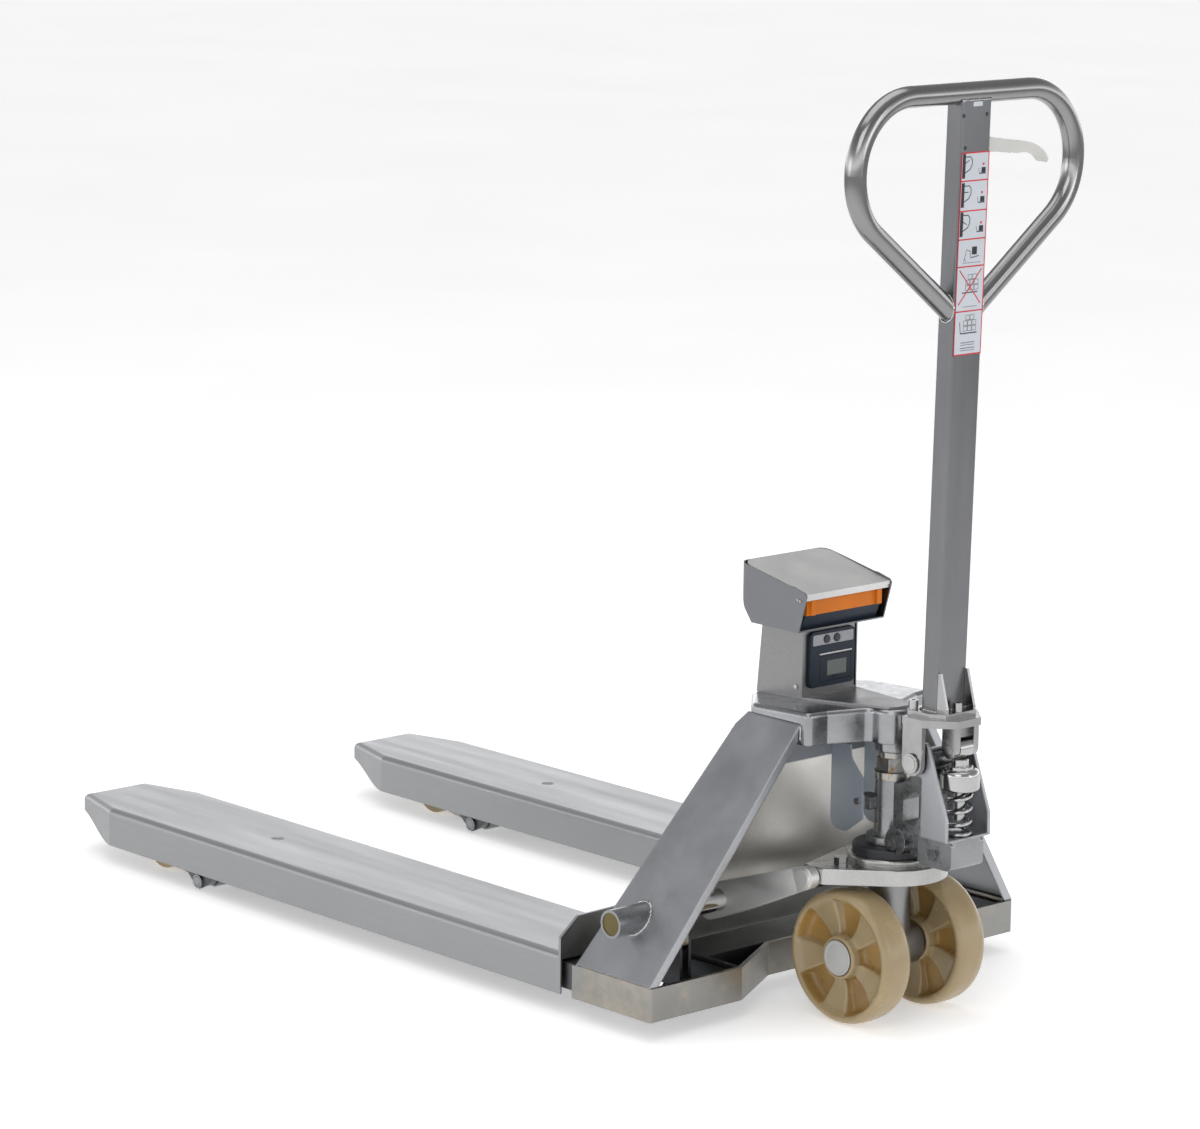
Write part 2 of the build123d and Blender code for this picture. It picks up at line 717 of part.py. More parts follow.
with BuildPart() as hood:
    with BuildSketch(Plane.XY.offset(COLUMN_TOP)):
        with Locations((fx(213) - 100, 0)):
            RectangleRounded(200, 2 * HOOD_HALF, HOOD_R)
    extrude(amount=95)
    with BuildSketch(Plane.XZ.offset(HOOD_HALF)):
        with BuildLine():
            Polyline(
                (fx(86), LID_REAR_Z - 1),
                (fx(100), COLUMN_TOP),
                (fx(188), COLUMN_TOP),
                (fx(204), 526),
                (fx(213), 550),
                (fx(213), LID_FRONT_Z - 1),
                (fx(180), LID_FRONT_Z - 7.2),
                (fx(120), LID_REAR_Z + 9.6),
                (fx(112), LID_REAR_Z + 9.2),
                (fx(90), LID_REAR_Z + 3.6),
                close=True,
            )
        make_face()
    extrude(amount=-2 * HOOD_HALF, mode=Mode.INTERSECT)
    add(hood_inside.part, mode=Mode.SUBTRACT)
    # rear corners cut back to the slanting edge
    with BuildSketch(Plane.XZ.offset(HOOD_HALF + 1)):
        with BuildLine():
            Polyline(
                (fx(86), LID_REAR_Z - 1),
                (fx(100), COLUMN_TOP),
                (fx(20), COLUMN_TOP),
                (fx(20), LID_REAR_Z + 20),
                (fx(90), LID_REAR_Z + 3.6),
                close=True,
            )
        make_face()
    extrude(amount=-2 * HOOD_HALF - 2, mode=Mode.SUBTRACT)
hood.part.label = "hood"
export_step(hood.part, "parts/hood.step")

LID_HALF = HOOD_HALF - HOOD_T - 0.4
with BuildPart() as hood_lid:
    with BuildSketch(Plane.XZ.offset(LID_HALF)):
        with BuildLine():
            Polyline(
                (fx(210.5), LID_FRONT_Z - 0.8),
                (fx(88), LID_REAR_Z + 1.3),
                (fx(88), LID_REAR_Z - 3.5),
                (fx(90), LID_REAR_Z - 3.5),
                (fx(90), LID_REAR_Z - 8),
                (fx(92), LID_REAR_Z - 8),
                (fx(92), LID_REAR_Z),
                (fx(210.5), LID_FRONT_Z - 2.8),
                close=True,
            )
        make_face()
    extrude(amount=-2 * LID_HALF)
    for side in (1, -1):
        with BuildSketch(Plane.XY.offset(LID_REAR_Z)):
            with Locations((fx(210.5) - 8, side * (LID_HALF - 8))):
                Rectangle(20, 20)
            with Locations((fx(210.5) - 18, side * (LID_HALF - 18))):
                Circle(18, mode=Mode.SUBTRACT)
        extrude(amount=40, mode=Mode.SUBTRACT)
hood_lid.part.label = "hood_lid"
export_step(hood_lid.part, "parts/hood_lid.step")

with BuildPart() as head_screws:
    for side in (1, -1):
        with BuildSketch(Plane.XZ.offset(-side * COLUMN_HALF)):
            with Locations((fx(131), 424)):
                Circle(3)
        extrude(amount=-side * 1.6)
        with BuildSketch(Plane.XZ.offset(-side * HOOD_HALF)):
            with Locations((fx(97), 548), (fx(101.5), 549)):
                Circle(1.7)
        extrude(amount=-side * 1.4)
head_screws.part.label = "head_screws"
export_step(head_screws.part, "parts/head_screws.step")

CASE_HALF = 70.0
with BuildPart() as indicator_base:
    with BuildSketch(Plane.XZ.offset(CASE_HALF)):
        with BuildLine():
            Polyline(
                (fx(106), COLUMN_TOP + HOOD_T),
                (fx(180), COLUMN_TOP + HOOD_T),
                (fx(192), 527),
                (fx(98), 527),
                close=True,
            )
        make_face()
    extrude(amount=-2 * CASE_HALF)
indicator_base.part.label = "indicator_base"
export_step(indicator_base.part, "parts/indicator_base.step")

face_run = 107.0
face_rise = 22.0
with BuildPart() as indicator_case:
    with BuildSketch(Plane.XZ.offset(CASE_HALF)):
        with BuildLine():
            Polyline(
                (fx(95), 527),
                (fx(195), 527),
                (fx(195), 550 + 100 * face_rise / face_run),
                (fx(95), 550),
                close=True,
            )
        make_face()
    extrude(amount=-2 * CASE_HALF)
    for side in (1, -1):
        with BuildSketch(Plane.YZ.offset(fx(95))):
            with Locations((side * 61, 537.5)):
                Rectangle(8, 20)
        extrude(amount=-4)
indicator_case.part.label = "indicator_case"
export_step(indicator_case.part, "parts/indicator_case.step")

face_len = math.hypot(face_run, face_rise)
face_plane = Plane(
    origin=(fx(95), 0, 550),
    x_dir=(0, -1, 0),
    z_dir=(-face_rise / face_len, 0, face_run / face_len),
)
with BuildPart() as display_window:
    with BuildSketch(face_plane):
        with Locations((0, 74)):
            RectangleRounded(112, 40, 3)
    extrude(amount=1.2)
display_window.part.label = "display_window"
export_step(display_window.part, "parts/display_window.step")

with BuildPart() as keypad:
    with BuildSketch(face_plane):
        with Locations((0, 28)):
            RectangleRounded(120, 34, 4)
    extrude(amount=0.8)
    with BuildSketch(face_plane.offset(0.8)):
        with GridLocations(19, 15, 6, 2):
            with Locations((0, 28)):
                RectangleRounded(13, 9, 2)
    extrude(amount=0.8)
keypad.part.label = "keypad"
export_step(keypad.part, "parts/keypad.step")

# ---------------------------------------------------------------- rocker, push rods, carriers
LINK_IN = 116.0
LINK_OUT = 130.0
FLARE = 22.0              # arm's outer face leans out this much at the shaft
ROCK_HUB_R = 24.0
lever_lean = math.degrees(math.atan2(HALF_TRAVEL, LEVER_DROP))
with BuildPart() as torsion_shaft:
    with BuildSketch(Plane.XZ.offset(-(SIDE_Y - 6))):
        with Locations((SHAFT_X, SHAFT_Z)):
            Circle(SHAFT_R)
    extrude(amount=2 * (SIDE_Y - 6))
    # short levers welded on, slotted for the rod pins
    for side in (1, -1):
        with BuildSketch(Plane.XZ.offset(-side * ROD_Y)):
            with Locations(Location((SHAFT_X, SHAFT_Z), -lever_lean)):
                Circle(ROCK_HUB_R)
                with Locations((0, -LEVER_DROP)):
                    Circle(13)
                make_hull()
                with Locations((0, -43.5)):
                    SlotOverall(19, 12.6, rotation=90, mode=Mode.SUBTRACT)
        extrude(amount=5, both=True)
torsion_shaft.part.label = "torsion_shaft"
export_step(torsion_shaft.part, "parts/torsion_shaft.step")

arm_len = math.hypot(SHAFT_X - EAR_X, EAR_Z - SHAFT_Z)
TAIL = 18.0               # arm runs on past the shaft
flare_end = arm_len + TAIL + ROCK_HUB_R + 4
with BuildPart() as link_arms:
    for side in (1, -1):
        arm_plane = Plane(
            origin=(EAR_X, side * LINK_OUT, EAR_Z),
            x_dir=(SHAFT_X - EAR_X, 0, SHAFT_Z - EAR_Z),
            z_dir=(0, side, 0),
        )
        # broad forged arm that runs on past the shaft
        with BuildSketch(arm_plane):
            Circle(15)
            with Locations((arm_len, 0), (arm_len + TAIL, 0)):
                Circle(ROCK_HUB_R)
            make_hull()
            with Locations((arm_len, 0)):
                Circle(SHAFT_R, mode=Mode.SUBTRACT)
        extrude(amount=-(LINK_OUT - LINK_IN))
        with BuildSketch(arm_plane):
            Circle(15)
            with Locations((arm_len, 0), (arm_len + TAIL, 0)):
                Circle(ROCK_HUB_R)
            make_hull()
            with Locations((arm_len, 0)):
                Circle(SHAFT_R, mode=Mode.SUBTRACT)
        extrude(amount=FLARE * flare_end / arm_len)
        # outer face leans out towards the shaft
        across = Plane(origin=arm_plane.origin, x_dir=arm_plane.x_dir, z_dir=arm_plane.y_dir)
        out = 1 if across.y_dir.dot(arm_plane.z_dir) > 0 else -1
        with BuildSketch(across):
            with BuildLine():
                Polyline(
                    (-20, 0),
                    (18, 0),
                    (arm_len, out * FLARE),
                    (flare_end, out * FLARE),
                    (flare_end, out * 2 * FLARE),
                    (-20, out * 2 * FLARE),
                    close=True,
                )
            make_face()
        extrude(amount=ROCK_HUB_R + 4, both=True, mode=Mode.SUBTRACT)
link_arms.part.label = "link_arms"
export_step(link_arms.part, "parts/link_arms.step")

with BuildPart() as link_pin_heads:
    for side in (1, -1):
        with BuildSketch(Plane.XZ.offset(-side * LINK_OUT)):
            with Locations((EAR_X, EAR_Z)):
                Circle(12.5)
        extrude(amount=-side * 5)
link_pin_heads.part.label = "link_pin_heads"
export_step(link_pin_heads.part, "parts/link_pin_heads.step")

CHEEK_IN = 5.6
CHEEK_OUT = 10.0
for side_name, side in (("left", 1), ("right", -1)):
    with BuildPart() as push_rod:
        # rear end rises to the shaft lever, front end is a low fork at the carrier
        for cheek in (1, -1):
            with BuildSketch(Plane.XZ.offset(-(side * ROD_Y + cheek * (CHEEK_IN + CHEEK_OUT) / 2))):
                with BuildLine():
                    Polyline(
                        (REAR_PIN_X - 12, ROD_Z - 8),
                        (REAR_PIN_X + 60, ROD_Z - 8),
                        (REAR_PIN_X + 60, ROD_Z + 8),
                        (REAR_PIN_X + 36, ROD_Z + 8),
                        (REAR_PIN_X + 12, REAR_PIN_Z - 12),
                        (REAR_PIN_X + 11, REAR_PIN_Z + 9),
                        (REAR_PIN_X - 11, REAR_PIN_Z + 9),
                        close=True,
                    )
                make_face()
            extrude(amount=(CHEEK_OUT - CHEEK_IN) / 2, both=True)
            with BuildSketch(Plane.XZ.offset(-(side * ROD_Y + cheek * (CHEEK_IN + CHEEK_OUT) / 2))):
                with Locations((FRONT_PIN_X - 10, ROD_Z)):
                    Rectangle(40, 16)
            extrude(amount=(CHEEK_OUT - CHEEK_IN) / 2, both=True)
        with BuildSketch(Plane.XY.offset(ROD_Z - 8)):
            with Locations((REAR_PIN_X + 40, side * ROD_Y), (FRONT_PIN_X - 24, side * ROD_Y)):
                Rectangle(14, 2 * CHEEK_OUT)
        extrude(amount=16)
        with BuildSketch(Plane.YZ.offset(REAR_PIN_X + 40)):
            with Locations((side * ROD_Y, ROD_Z)):
                Circle(ROD_R)
        extrude(amount=FRONT_PIN_X - 24 - REAR_PIN_X - 40)
        with BuildSketch(Plane.XZ.offset(-side * ROD_Y)):
            with Locations((REAR_PIN_X, REAR_PIN_Z), (FRONT_PIN_X, ROD_Z)):
                Circle(ROD_PIN_R)
        extrude(amount=CHEEK_OUT, both=True)
    push_rod.part.label = f"push_rod_{side_name}"
    export_step(push_rod.part, f"parts/push_rod_{side_name}.step")

HUB_R = 13.0
carrier_lean = math.degrees(math.atan2(HALF_TRAVEL, ROD_Z - PIVOT_Z))
for side_name, side in (("left", 1), ("right", -1)):
    with BuildPart() as carrier:
        for plate_y in (side * FORK_Y + 45, side * FORK_Y - 45):
            with BuildSketch(Plane.XZ.offset(-plate_y)):
                with Locations((PIVOT_X, PIVOT_Z)):
                    Circle(HUB_R)
                with Locations((ROLLER_X, ROLLER_R)):
                    Circle(16)
                make_hull()
                with Locations((PIVOT_X, PIVOT_Z)):
                    Circle(TUBE_R + RUN, mode=Mode.SUBTRACT)
            extrude(amount=4, both=True)
        with BuildSketch(Plane.XZ.offset(-side * FORK_Y)):
            with Locations((ROLLER_X, ROLLER_R)):
                Circle(AXLE_R)
        extrude(amount=48, both=True)
        with BuildSketch(Plane.XZ.offset(-side * FORK_Y)):
            with Locations((PIVOT_X, PIVOT_Z)):
                Circle(HUB_R)
                Circle(TUBE_R + RUN, mode=Mode.SUBTRACT)
        extrude(amount=45, both=True)
        with BuildSketch(Plane.XZ.offset(-side * ROD_Y)):
            with Locations(Location((PIVOT_X, PIVOT_Z), carrier_lean)):
                Circle(HUB_R)
                with Locations((0, 40)):
                    Circle(10.6)
                make_hull()
                Circle(TUBE_R + RUN, mode=Mode.SUBTRACT)
                with Locations((0, 40.5)):
                    SlotOverall(17.4, 15.6, rotation=90, mode=Mode.SUBTRACT)
        extrude(amount=4.6, both=True)
    carrier.part.label = f"carrier_{side_name}"
    export_step(carrier.part, f"parts/carrier_{side_name}.step")

    with BuildPart() as load_roller:
        with BuildSketch(Plane.XZ.offset(-side * FORK_Y)):
            with Locations((ROLLER_X, ROLLER_R)):
                Circle(ROLLER_R)
                Circle(AXLE_R + RUN, mode=Mode.SUBTRACT)
        extrude(amount=ROLLER_HALF, both=True)
        treads = load_roller.edges().filter_by(GeomType.CIRCLE).filter_by(
            lambda edge: edge.radius > ROLLER_R - 1)
        fillet(treads, 3)
    load_roller.part.label = f"load_roller_{side_name}"
    export_step(load_roller.part, f"parts/load_roller_{side_name}.step")

# ---------------------------------------------------------------- base plate (does not steer)
with BuildPart() as base_plate:
    with BuildSketch(Plane.XY.offset(BASE_LOW)):
        with Locations((STEER_X, 0)):
            Circle(76)
        with Locations((EAR_X - 2, LINK_IN - 14), (EAR_X - 2, -LINK_IN + 14)):
            Rectangle(34, 26)
        make_hull()
        with Locations((STEER_X, 0)):
            Circle(STEM_R + RUN, mode=Mode.SUBTRACT)
    extrude(amount=BASE_TOP - BASE_LOW)
    fillet(base_plate.edges().group_by(Axis.Z)[-1].filter_by_position(Axis.X, fx(-80), fx(70)), 1.5)
    # raised seat for the bearing
    with BuildSketch(Plane.XY.offset(BASE_TOP)):
        with Locations((STEER_X, 0)):
            Circle(57)
            Circle(STEM_R + RUN, mode=Mode.SUBTRACT)
    extrude(amount=SEAT_TOP - BASE_TOP)
    fillet(base_plate.edges().filter_by(GeomType.CIRCLE).group_by(Axis.Z)[-1].sort_by(SortBy.RADIUS)[-1], 4)
base_plate.part.label = "base_plate"
export_step(base_plate.part, "parts/base_plate.step")

with BuildPart() as base_bolts:
    with BuildSketch(Plane.XY.offset(BASE_TOP)):
        with Locations((fx(22), 70), (fx(22), -70)):
            RegularPolygon(9.5, 6)
    extrude(amount=7)
base_bolts.part.label = "base_bolts"
export_step(base_bolts.part, "parts/base_bolts.step")

with BuildPart() as thrust_bearing:
    with BuildSketch(Plane.XY.offset(SEAT_TOP)):
        with Locations((STEER_X, 0)):
            Circle(50.5)
            Circle(STEM_R + RUN, mode=Mode.SUBTRACT)
    extrude(amount=BEARING_TOP - SEAT_TOP)
    fillet(thrust_bearing.edges().group_by(Axis.Z)[-1].sort_by(SortBy.RADIUS)[-1], 4)
thrust_bearing.part.label = "thrust_bearing"
export_step(thrust_bearing.part, "parts/thrust_bearing.step")

# ---------------------------------------------------------------- pump, stem and axle (steer)
PUMP_LOW = BEARING_TOP + RUN
CYL_R = 23.0
GLAND_LOW = 318.0
with BuildPart() as pump_body:
    with BuildSketch(Plane.XY.offset(PUMP_LOW)):
        with Locations((STEER_X, 0)):
            Circle(33)
    extrude(amount=10)
    with BuildSketch(Plane.XY.offset(PUMP_LOW)):
        with Locations((STEER_X, 0)):
            Circle(CYL_R)
    extrude(amount=GLAND_LOW - PUMP_LOW)
    # side web with a window, from the cylinder back to the pivot and the pump block
    with BuildSketch(Plane.XZ):
        with BuildLine():
            Polyline(
                (fx(-5), PUMP_LOW + 1),
                (fx(-5), 316),
                (fx(-22), 316),
                (fx(-34), 320),
                (fx(-70), 352),
                (fx(-82), 345),
                (fx(-92), 338),
                (fx(-84), 310),
                (fx(-88), SPRING_SEAT),
                (fx(-84), 226),
                (fx(-40), 226),
                (fx(-30), PUMP_LOW + 1),
                close=True,
            )
        make_face()
        with BuildLine():
            Polyline(
                (fx(-35), 268),
                (fx(-35), 296),
                (fx(-56), 312),
                (fx(-74), 306),
                (fx(-74), 272),
                (fx(-60), 262),
                close=True,
            )
        make_face(mode=Mode.SUBTRACT)
    extrude(amount=15, both=True)
    with BuildSketch(Plane.XZ):
        with Locations((fx(-38), 244)):
            Circle(18)
    extrude(amount=32, both=True)
    with BuildSketch(Plane.XZ):
        with Locations((TILT_X, TILT_Z)):
            Circle(15)
    extrude(amount=36, both=True)
    # pump block under the spring
    with BuildSketch(Plane.XZ):
        with Locations((fx(-107), (222 + SPRING_SEAT) / 2)):
            RectangleRounded(60, SPRING_SEAT - 222, 9)
    extrude(amount=30, both=True)
    with BuildSketch(Plane.XY.offset(SPRING_SEAT)):
        with Locations((fx(-107), 0)):
            RectangleRounded(60, 60, 9)
    extrude(amount=-12)
    # lugs that hold the splash guards
    for side in (1, -1):
        with BuildSketch(Plane.XZ.offset(-side * 30)):
            with Locations((fx(23), 285)):
                RectangleRounded(26, 18, 3)
        extrude(amount=side * 22)
    with BuildSketch(Plane.XY.offset(PUMP_LOW)):
        with Locations((STEER_X, 0)):
            Circle(51.5)
    extrude(amount=-14.4, mode=Mode.SUBTRACT)
    with BuildSketch(Plane.XY.offset(SEAT_TOP + RUN)):
        with Locations((STEER_X, 0)):
            Circle(58)
    extrude(amount=-14, mode=Mode.SUBTRACT)
    with BuildSketch(Plane.XY.offset(SPRING_SEAT)):
        with Locations((SPRING_X, 0)):
            Circle(8.6)
    extrude(amount=-36, mode=Mode.SUBTRACT)
    with BuildSketch(Plane.XY.offset(PUMP_LOW)):
        with Locations((STEER_X, 0)):
            Circle(RAM_R + RUN)
    extrude(amount=GLAND_LOW - PUMP_LOW, mode=Mode.SUBTRACT)
    with BuildSketch(Plane.XZ):
        with Locations((TILT_X, TILT_Z)):
            Circle(TILT_PIN_R)
    extrude(amount=40, both=True, mode=Mode.SUBTRACT)
pump_body.part.label = "pump_body"
export_step(pump_body.part, "parts/pump_body.step")

with BuildPart() as gland:
    with BuildSketch(Plane.XY.offset(GLAND_LOW)):
        with Locations((STEER_X, 0)):
            Circle(24)
    extrude(amount=10)
    with BuildSketch(Plane.XY.offset(GLAND_LOW + 10)):
        with Locations((STEER_X, 0)):
            RegularPolygon(21.5, 6)
    extrude(amount=19)
    with BuildSketch(Plane.XY.offset(GLAND_LOW)):
        with Locations((STEER_X, 0)):
            Circle(RAM_R + RUN)
    extrude(amount=29, mode=Mode.SUBTRACT)
    # wiper seal on top of the hexagon
    with BuildSketch(Plane.XY.offset(GLAND_LOW + 29)):
        with Locations((STEER_X, 0)):
            Circle(19)
            Circle(RAM_R + RUN, mode=Mode.SUBTRACT)
    extrude(amount=SEAL_TOP - GLAND_LOW - 29)
gland.part.label = "gland"
export_step(gland.part, "parts/gland.step")

with BuildPart() as pump_bolts:
    with BuildSketch(Plane.XZ.offset(-32)):
        with Locations((fx(-38), 244)):
            RegularPolygon(11, 6)
    extrude(amount=-9)
    with BuildSketch(Plane.XZ.offset(-32)):
        with Locations((fx(-38), 244)):
            Circle(5)
    extrude(amount=-14)
    with BuildSketch(Plane.XZ.offset(32)):
        with Locations((fx(-38), 244)):
            RegularPolygon(11, 6)
    extrude(amount=8)
    with BuildSketch(Plane.XZ.offset(-30)):
        with Locations((fx(-106), 240)):
            RegularPolygon(8, 6)
    extrude(amount=-5)
    for side in (1, -1):
        with BuildSketch(Plane.XZ.offset(-side * 32)):
            with Locations((fx(31), 285)):
                Circle(4.5)
        extrude(amount=-side * 3.5)
pump_bolts.part.label = "pump_bolts"
export_step(pump_bolts.part, "parts/pump_bolts.step")

# upright cheeks either side of the spring
CHEEK_Y0 = 37.0
CHEEK_Y1 = 41.5
with BuildPart() as spring_bracket:
    for side in (1, -1):
        with BuildSketch(Plane.XZ.offset(-side * CHEEK_Y1)):
            with BuildLine():
                Polyline(
                    (fx(-91), SPRING_SEAT),
                    (fx(-91), 340),
                    (fx(-70), 346),
                    (fx(-68), 372),
                    (fx(-84), 387),
                    (fx(-99), 387),
                    (fx(-103), 381),
                    (fx(-137), 292),
                    (fx(-137.5), SPRING_SEAT),
                    close=True,
                )
            make_face()
            with Locations((TILT_X, TILT_Z)):
                Circle(15)
                Circle(TILT_PIN_R, mode=Mode.SUBTRACT)
        extrude(amount=side * (CHEEK_Y1 - CHEEK_Y0))
    with BuildSketch(Plane.XY.offset(SPRING_SEAT)):
        with Locations((fx(-115), 0)):
            Rectangle(48, 2 * CHEEK_Y0)
        with Locations((SPRING_X, 0)):
            Circle(18.9, mode=Mode.SUBTRACT)
    extrude(amount=3)
spring_bracket.part.label = "spring_bracket"
export_step(spring_bracket.part, "parts/spring_bracket.step")

with BuildPart() as tiller_pin:
    with BuildSketch(Plane.XZ):
        with Locations((TILT_X, TILT_Z)):
            Circle(TILT_PIN_R)
    extrude(amount=56, both=True)
    for side in (1, -1):
        with BuildSketch(Plane.XZ.offset(-side * 52.5)):
            with Locations((TILT_X, TILT_Z)):
                Circle(13)
        extrude(amount=-side * 2.5)
tiller_pin.part.label = "tiller_pin"
export_step(tiller_pin.part, "parts/tiller_pin.step")

with BuildPart() as splash_guards:
    for side in (1, -1):
        with BuildSketch(Plane.XZ.offset(-side * 32)):
            with BuildLine():
                Polyline(
                    (fx(46), 358),
                    (fx(44), 340),
                    (fx(22), 316),
                    (fx(22), 262),
                    (fx(52), 240),
                    (fx(81), 240),
                    (fx(81), 358),
                    close=True,
                )
            make_face()
        extrude(amount=side * 2)
    fillet(splash_guards.edges().filter_by(Axis.Y).filter_by_position(Axis.X, fx(43), fx(45)), 14)
    fillet(splash_guards.edges().filter_by(Axis.Y).filter_by_position(Axis.X, fx(51), fx(53)), 10)
    fillet(splash_guards.edges().filter_by(Axis.Y).filter_by_position(Axis.Z, 239, 241), 16)
splash_guards.part.label = "splash_guards"
export_step(splash_guards.part, "parts/splash_guards.step")

with BuildPart() as wheel_stem:
    with BuildSketch(Plane.XY.offset(112)):
        with Locations((STEER_X, 0)):
            Circle(STEM_R)
    extrude(amount=PUMP_LOW - 112)
    with BuildSketch(Plane.XZ):
        with Locations((STEER_X, AXLE_Z)):
            Circle(30)
    extrude(amount=38, both=True)
    with BuildSketch(Plane.XY.offset(200)):
        with Locations((STEER_X, 0)):
            Circle(RAM_R + RUN)
    extrude(amount=40, mode=Mode.SUBTRACT)
    # axle through the foot of the stem
    with BuildSketch(Plane.XZ):
        with Locations((STEER_X, AXLE_Z)):
            Circle(12)
    extrude(amount=WHEEL_Y + WHEEL_HALF - 6, both=True)
wheel_stem.part.label = "wheel_stem"
export_step(wheel_stem.part, "parts/wheel_stem.step")

# ---------------------------------------------------------------- steering wheels
SPOKES = 5
SPOKE_TURN = 62.0        # one spoke's direction, degrees from the fork side
for side_name, side in (("left", 1), ("right", -1)):
    with BuildPart() as steer_wheel:
        with BuildSketch(Plane.XZ.offset(-side * WHEEL_Y)):
            with Locations((STEER_X, AXLE_Z)):
                Circle(WHEEL_R)
        extrude(amount=WHEEL_HALF, both=True)
        fillet(steer_wheel.edges().filter_by(GeomType.CIRCLE), 8)
        for face in (1, -1):
            with BuildSketch(Plane.XZ.offset(-(side * WHEEL_Y + face * WHEEL_HALF))):
                with Locations((STEER_X, AXLE_Z)):
                    Circle(76)
                    Circle(30, mode=Mode.SUBTRACT)
            extrude(amount=face * 14, mode=Mode.SUBTRACT)
            with BuildSketch(Plane.XZ.offset(-(side * WHEEL_Y + face * (WHEEL_HALF - 6)))):
                with Locations((STEER_X, AXLE_Z)):
                    with PolarLocations(53, SPOKES, start_angle=SPOKE_TURN):
                        Trapezoid(38, 50, 80, rotation=90)
            extrude(amount=face * 10)
        with BuildSketch(Plane.XZ.offset(-side * WHEEL_Y)):
            with Locations((STEER_X, AXLE_Z)):
                Circle(24)
        extrude(amount=WHEEL_HALF + 2, both=True, mode=Mode.SUBTRACT)
    steer_wheel.part.label = f"steer_wheel_{side_name}"
    export_step(steer_wheel.part, f"parts/steer_wheel_{side_name}.step")

    # sealed bearing with its outer cap
    with BuildPart() as wheel_hub:
        with BuildSketch(Plane.XZ.offset(-side * WHEEL_Y)):
            with Locations((STEER_X, AXLE_Z)):
                Circle(24)
                Circle(12 + RUN, mode=Mode.SUBTRACT)
        extrude(amount=WHEEL_HALF - 5, both=True)
        with BuildSketch(Plane.XZ.offset(-side * (WHEEL_Y + WHEEL_HALF - 5))):
            with Locations((STEER_X, AXLE_Z)):
                Circle(23.6)
        extrude(amount=-side * 5.5)
    wheel_hub.part.label = f"wheel_hub_{side_name}"
    export_step(wheel_hub.part, f"parts/wheel_hub_{side_name}.step")

# ---------------------------------------------------------------- plunger and spring
with BuildPart() as plunger:
    with BuildSketch(Plane.XY.offset(325)):
        with Locations((SPRING_X, 0)):
            Circle(26)
    extrude(amount=28)
    fillet(plunger.edges().group_by(Axis.Z)[-1], 8)
    fillet(plunger.edges().group_by(Axis.Z)[0], 4)
    with BuildSketch(Plane.XY.offset(325)):
        with Locations((SPRING_X, 0)):
            Circle(20.5)
    extrude(amount=21, mode=Mode.SUBTRACT)
    with BuildSketch(Plane.XY.offset(285)):
        with Locations((SPRING_X, 0)):
            Circle(8)
    extrude(amount=66)
    with BuildSketch(Plane.XY.offset(353)):
        with Locations((SPRING_X, 0)):
            Circle(17)
    extrude(amount=4)
    fillet(plunger.edges().group_by(Axis.Z)[-1], 1.5)
    with BuildSketch(Plane.XY.offset(357)):
        with Locations((SPRING_X, 0)):
            Circle(11)
    extrude(amount=9)
    fillet(plunger.edges().group_by(Axis.Z)[-1], 2)
plunger.part.label = "plunger"
export_step(plunger.part, "parts/plunger.step")

WIRE = 5.6
SPRING_R = 15.4
SPRING_TOP = 345.6
with BuildPart() as return_spring:
    with BuildLine():
        Helix(pitch=12.8, height=SPRING_TOP - SPRING_SEAT - WIRE - 0.4, radius=SPRING_R,
              center=(SPRING_X, 0, SPRING_SEAT + WIRE / 2 + 0.2))
    with BuildSketch(Plane(origin=(SPRING_X + SPRING_R, 0, SPRING_SEAT + WIRE / 2 + 0.2),
                           x_dir=(1, 0, 0), z_dir=(0, 1, 0.14))):
        Circle(WIRE / 2)
    sweep()
return_spring.part.label = "return_spring"
export_step(return_spring.part, "parts/return_spring.step")

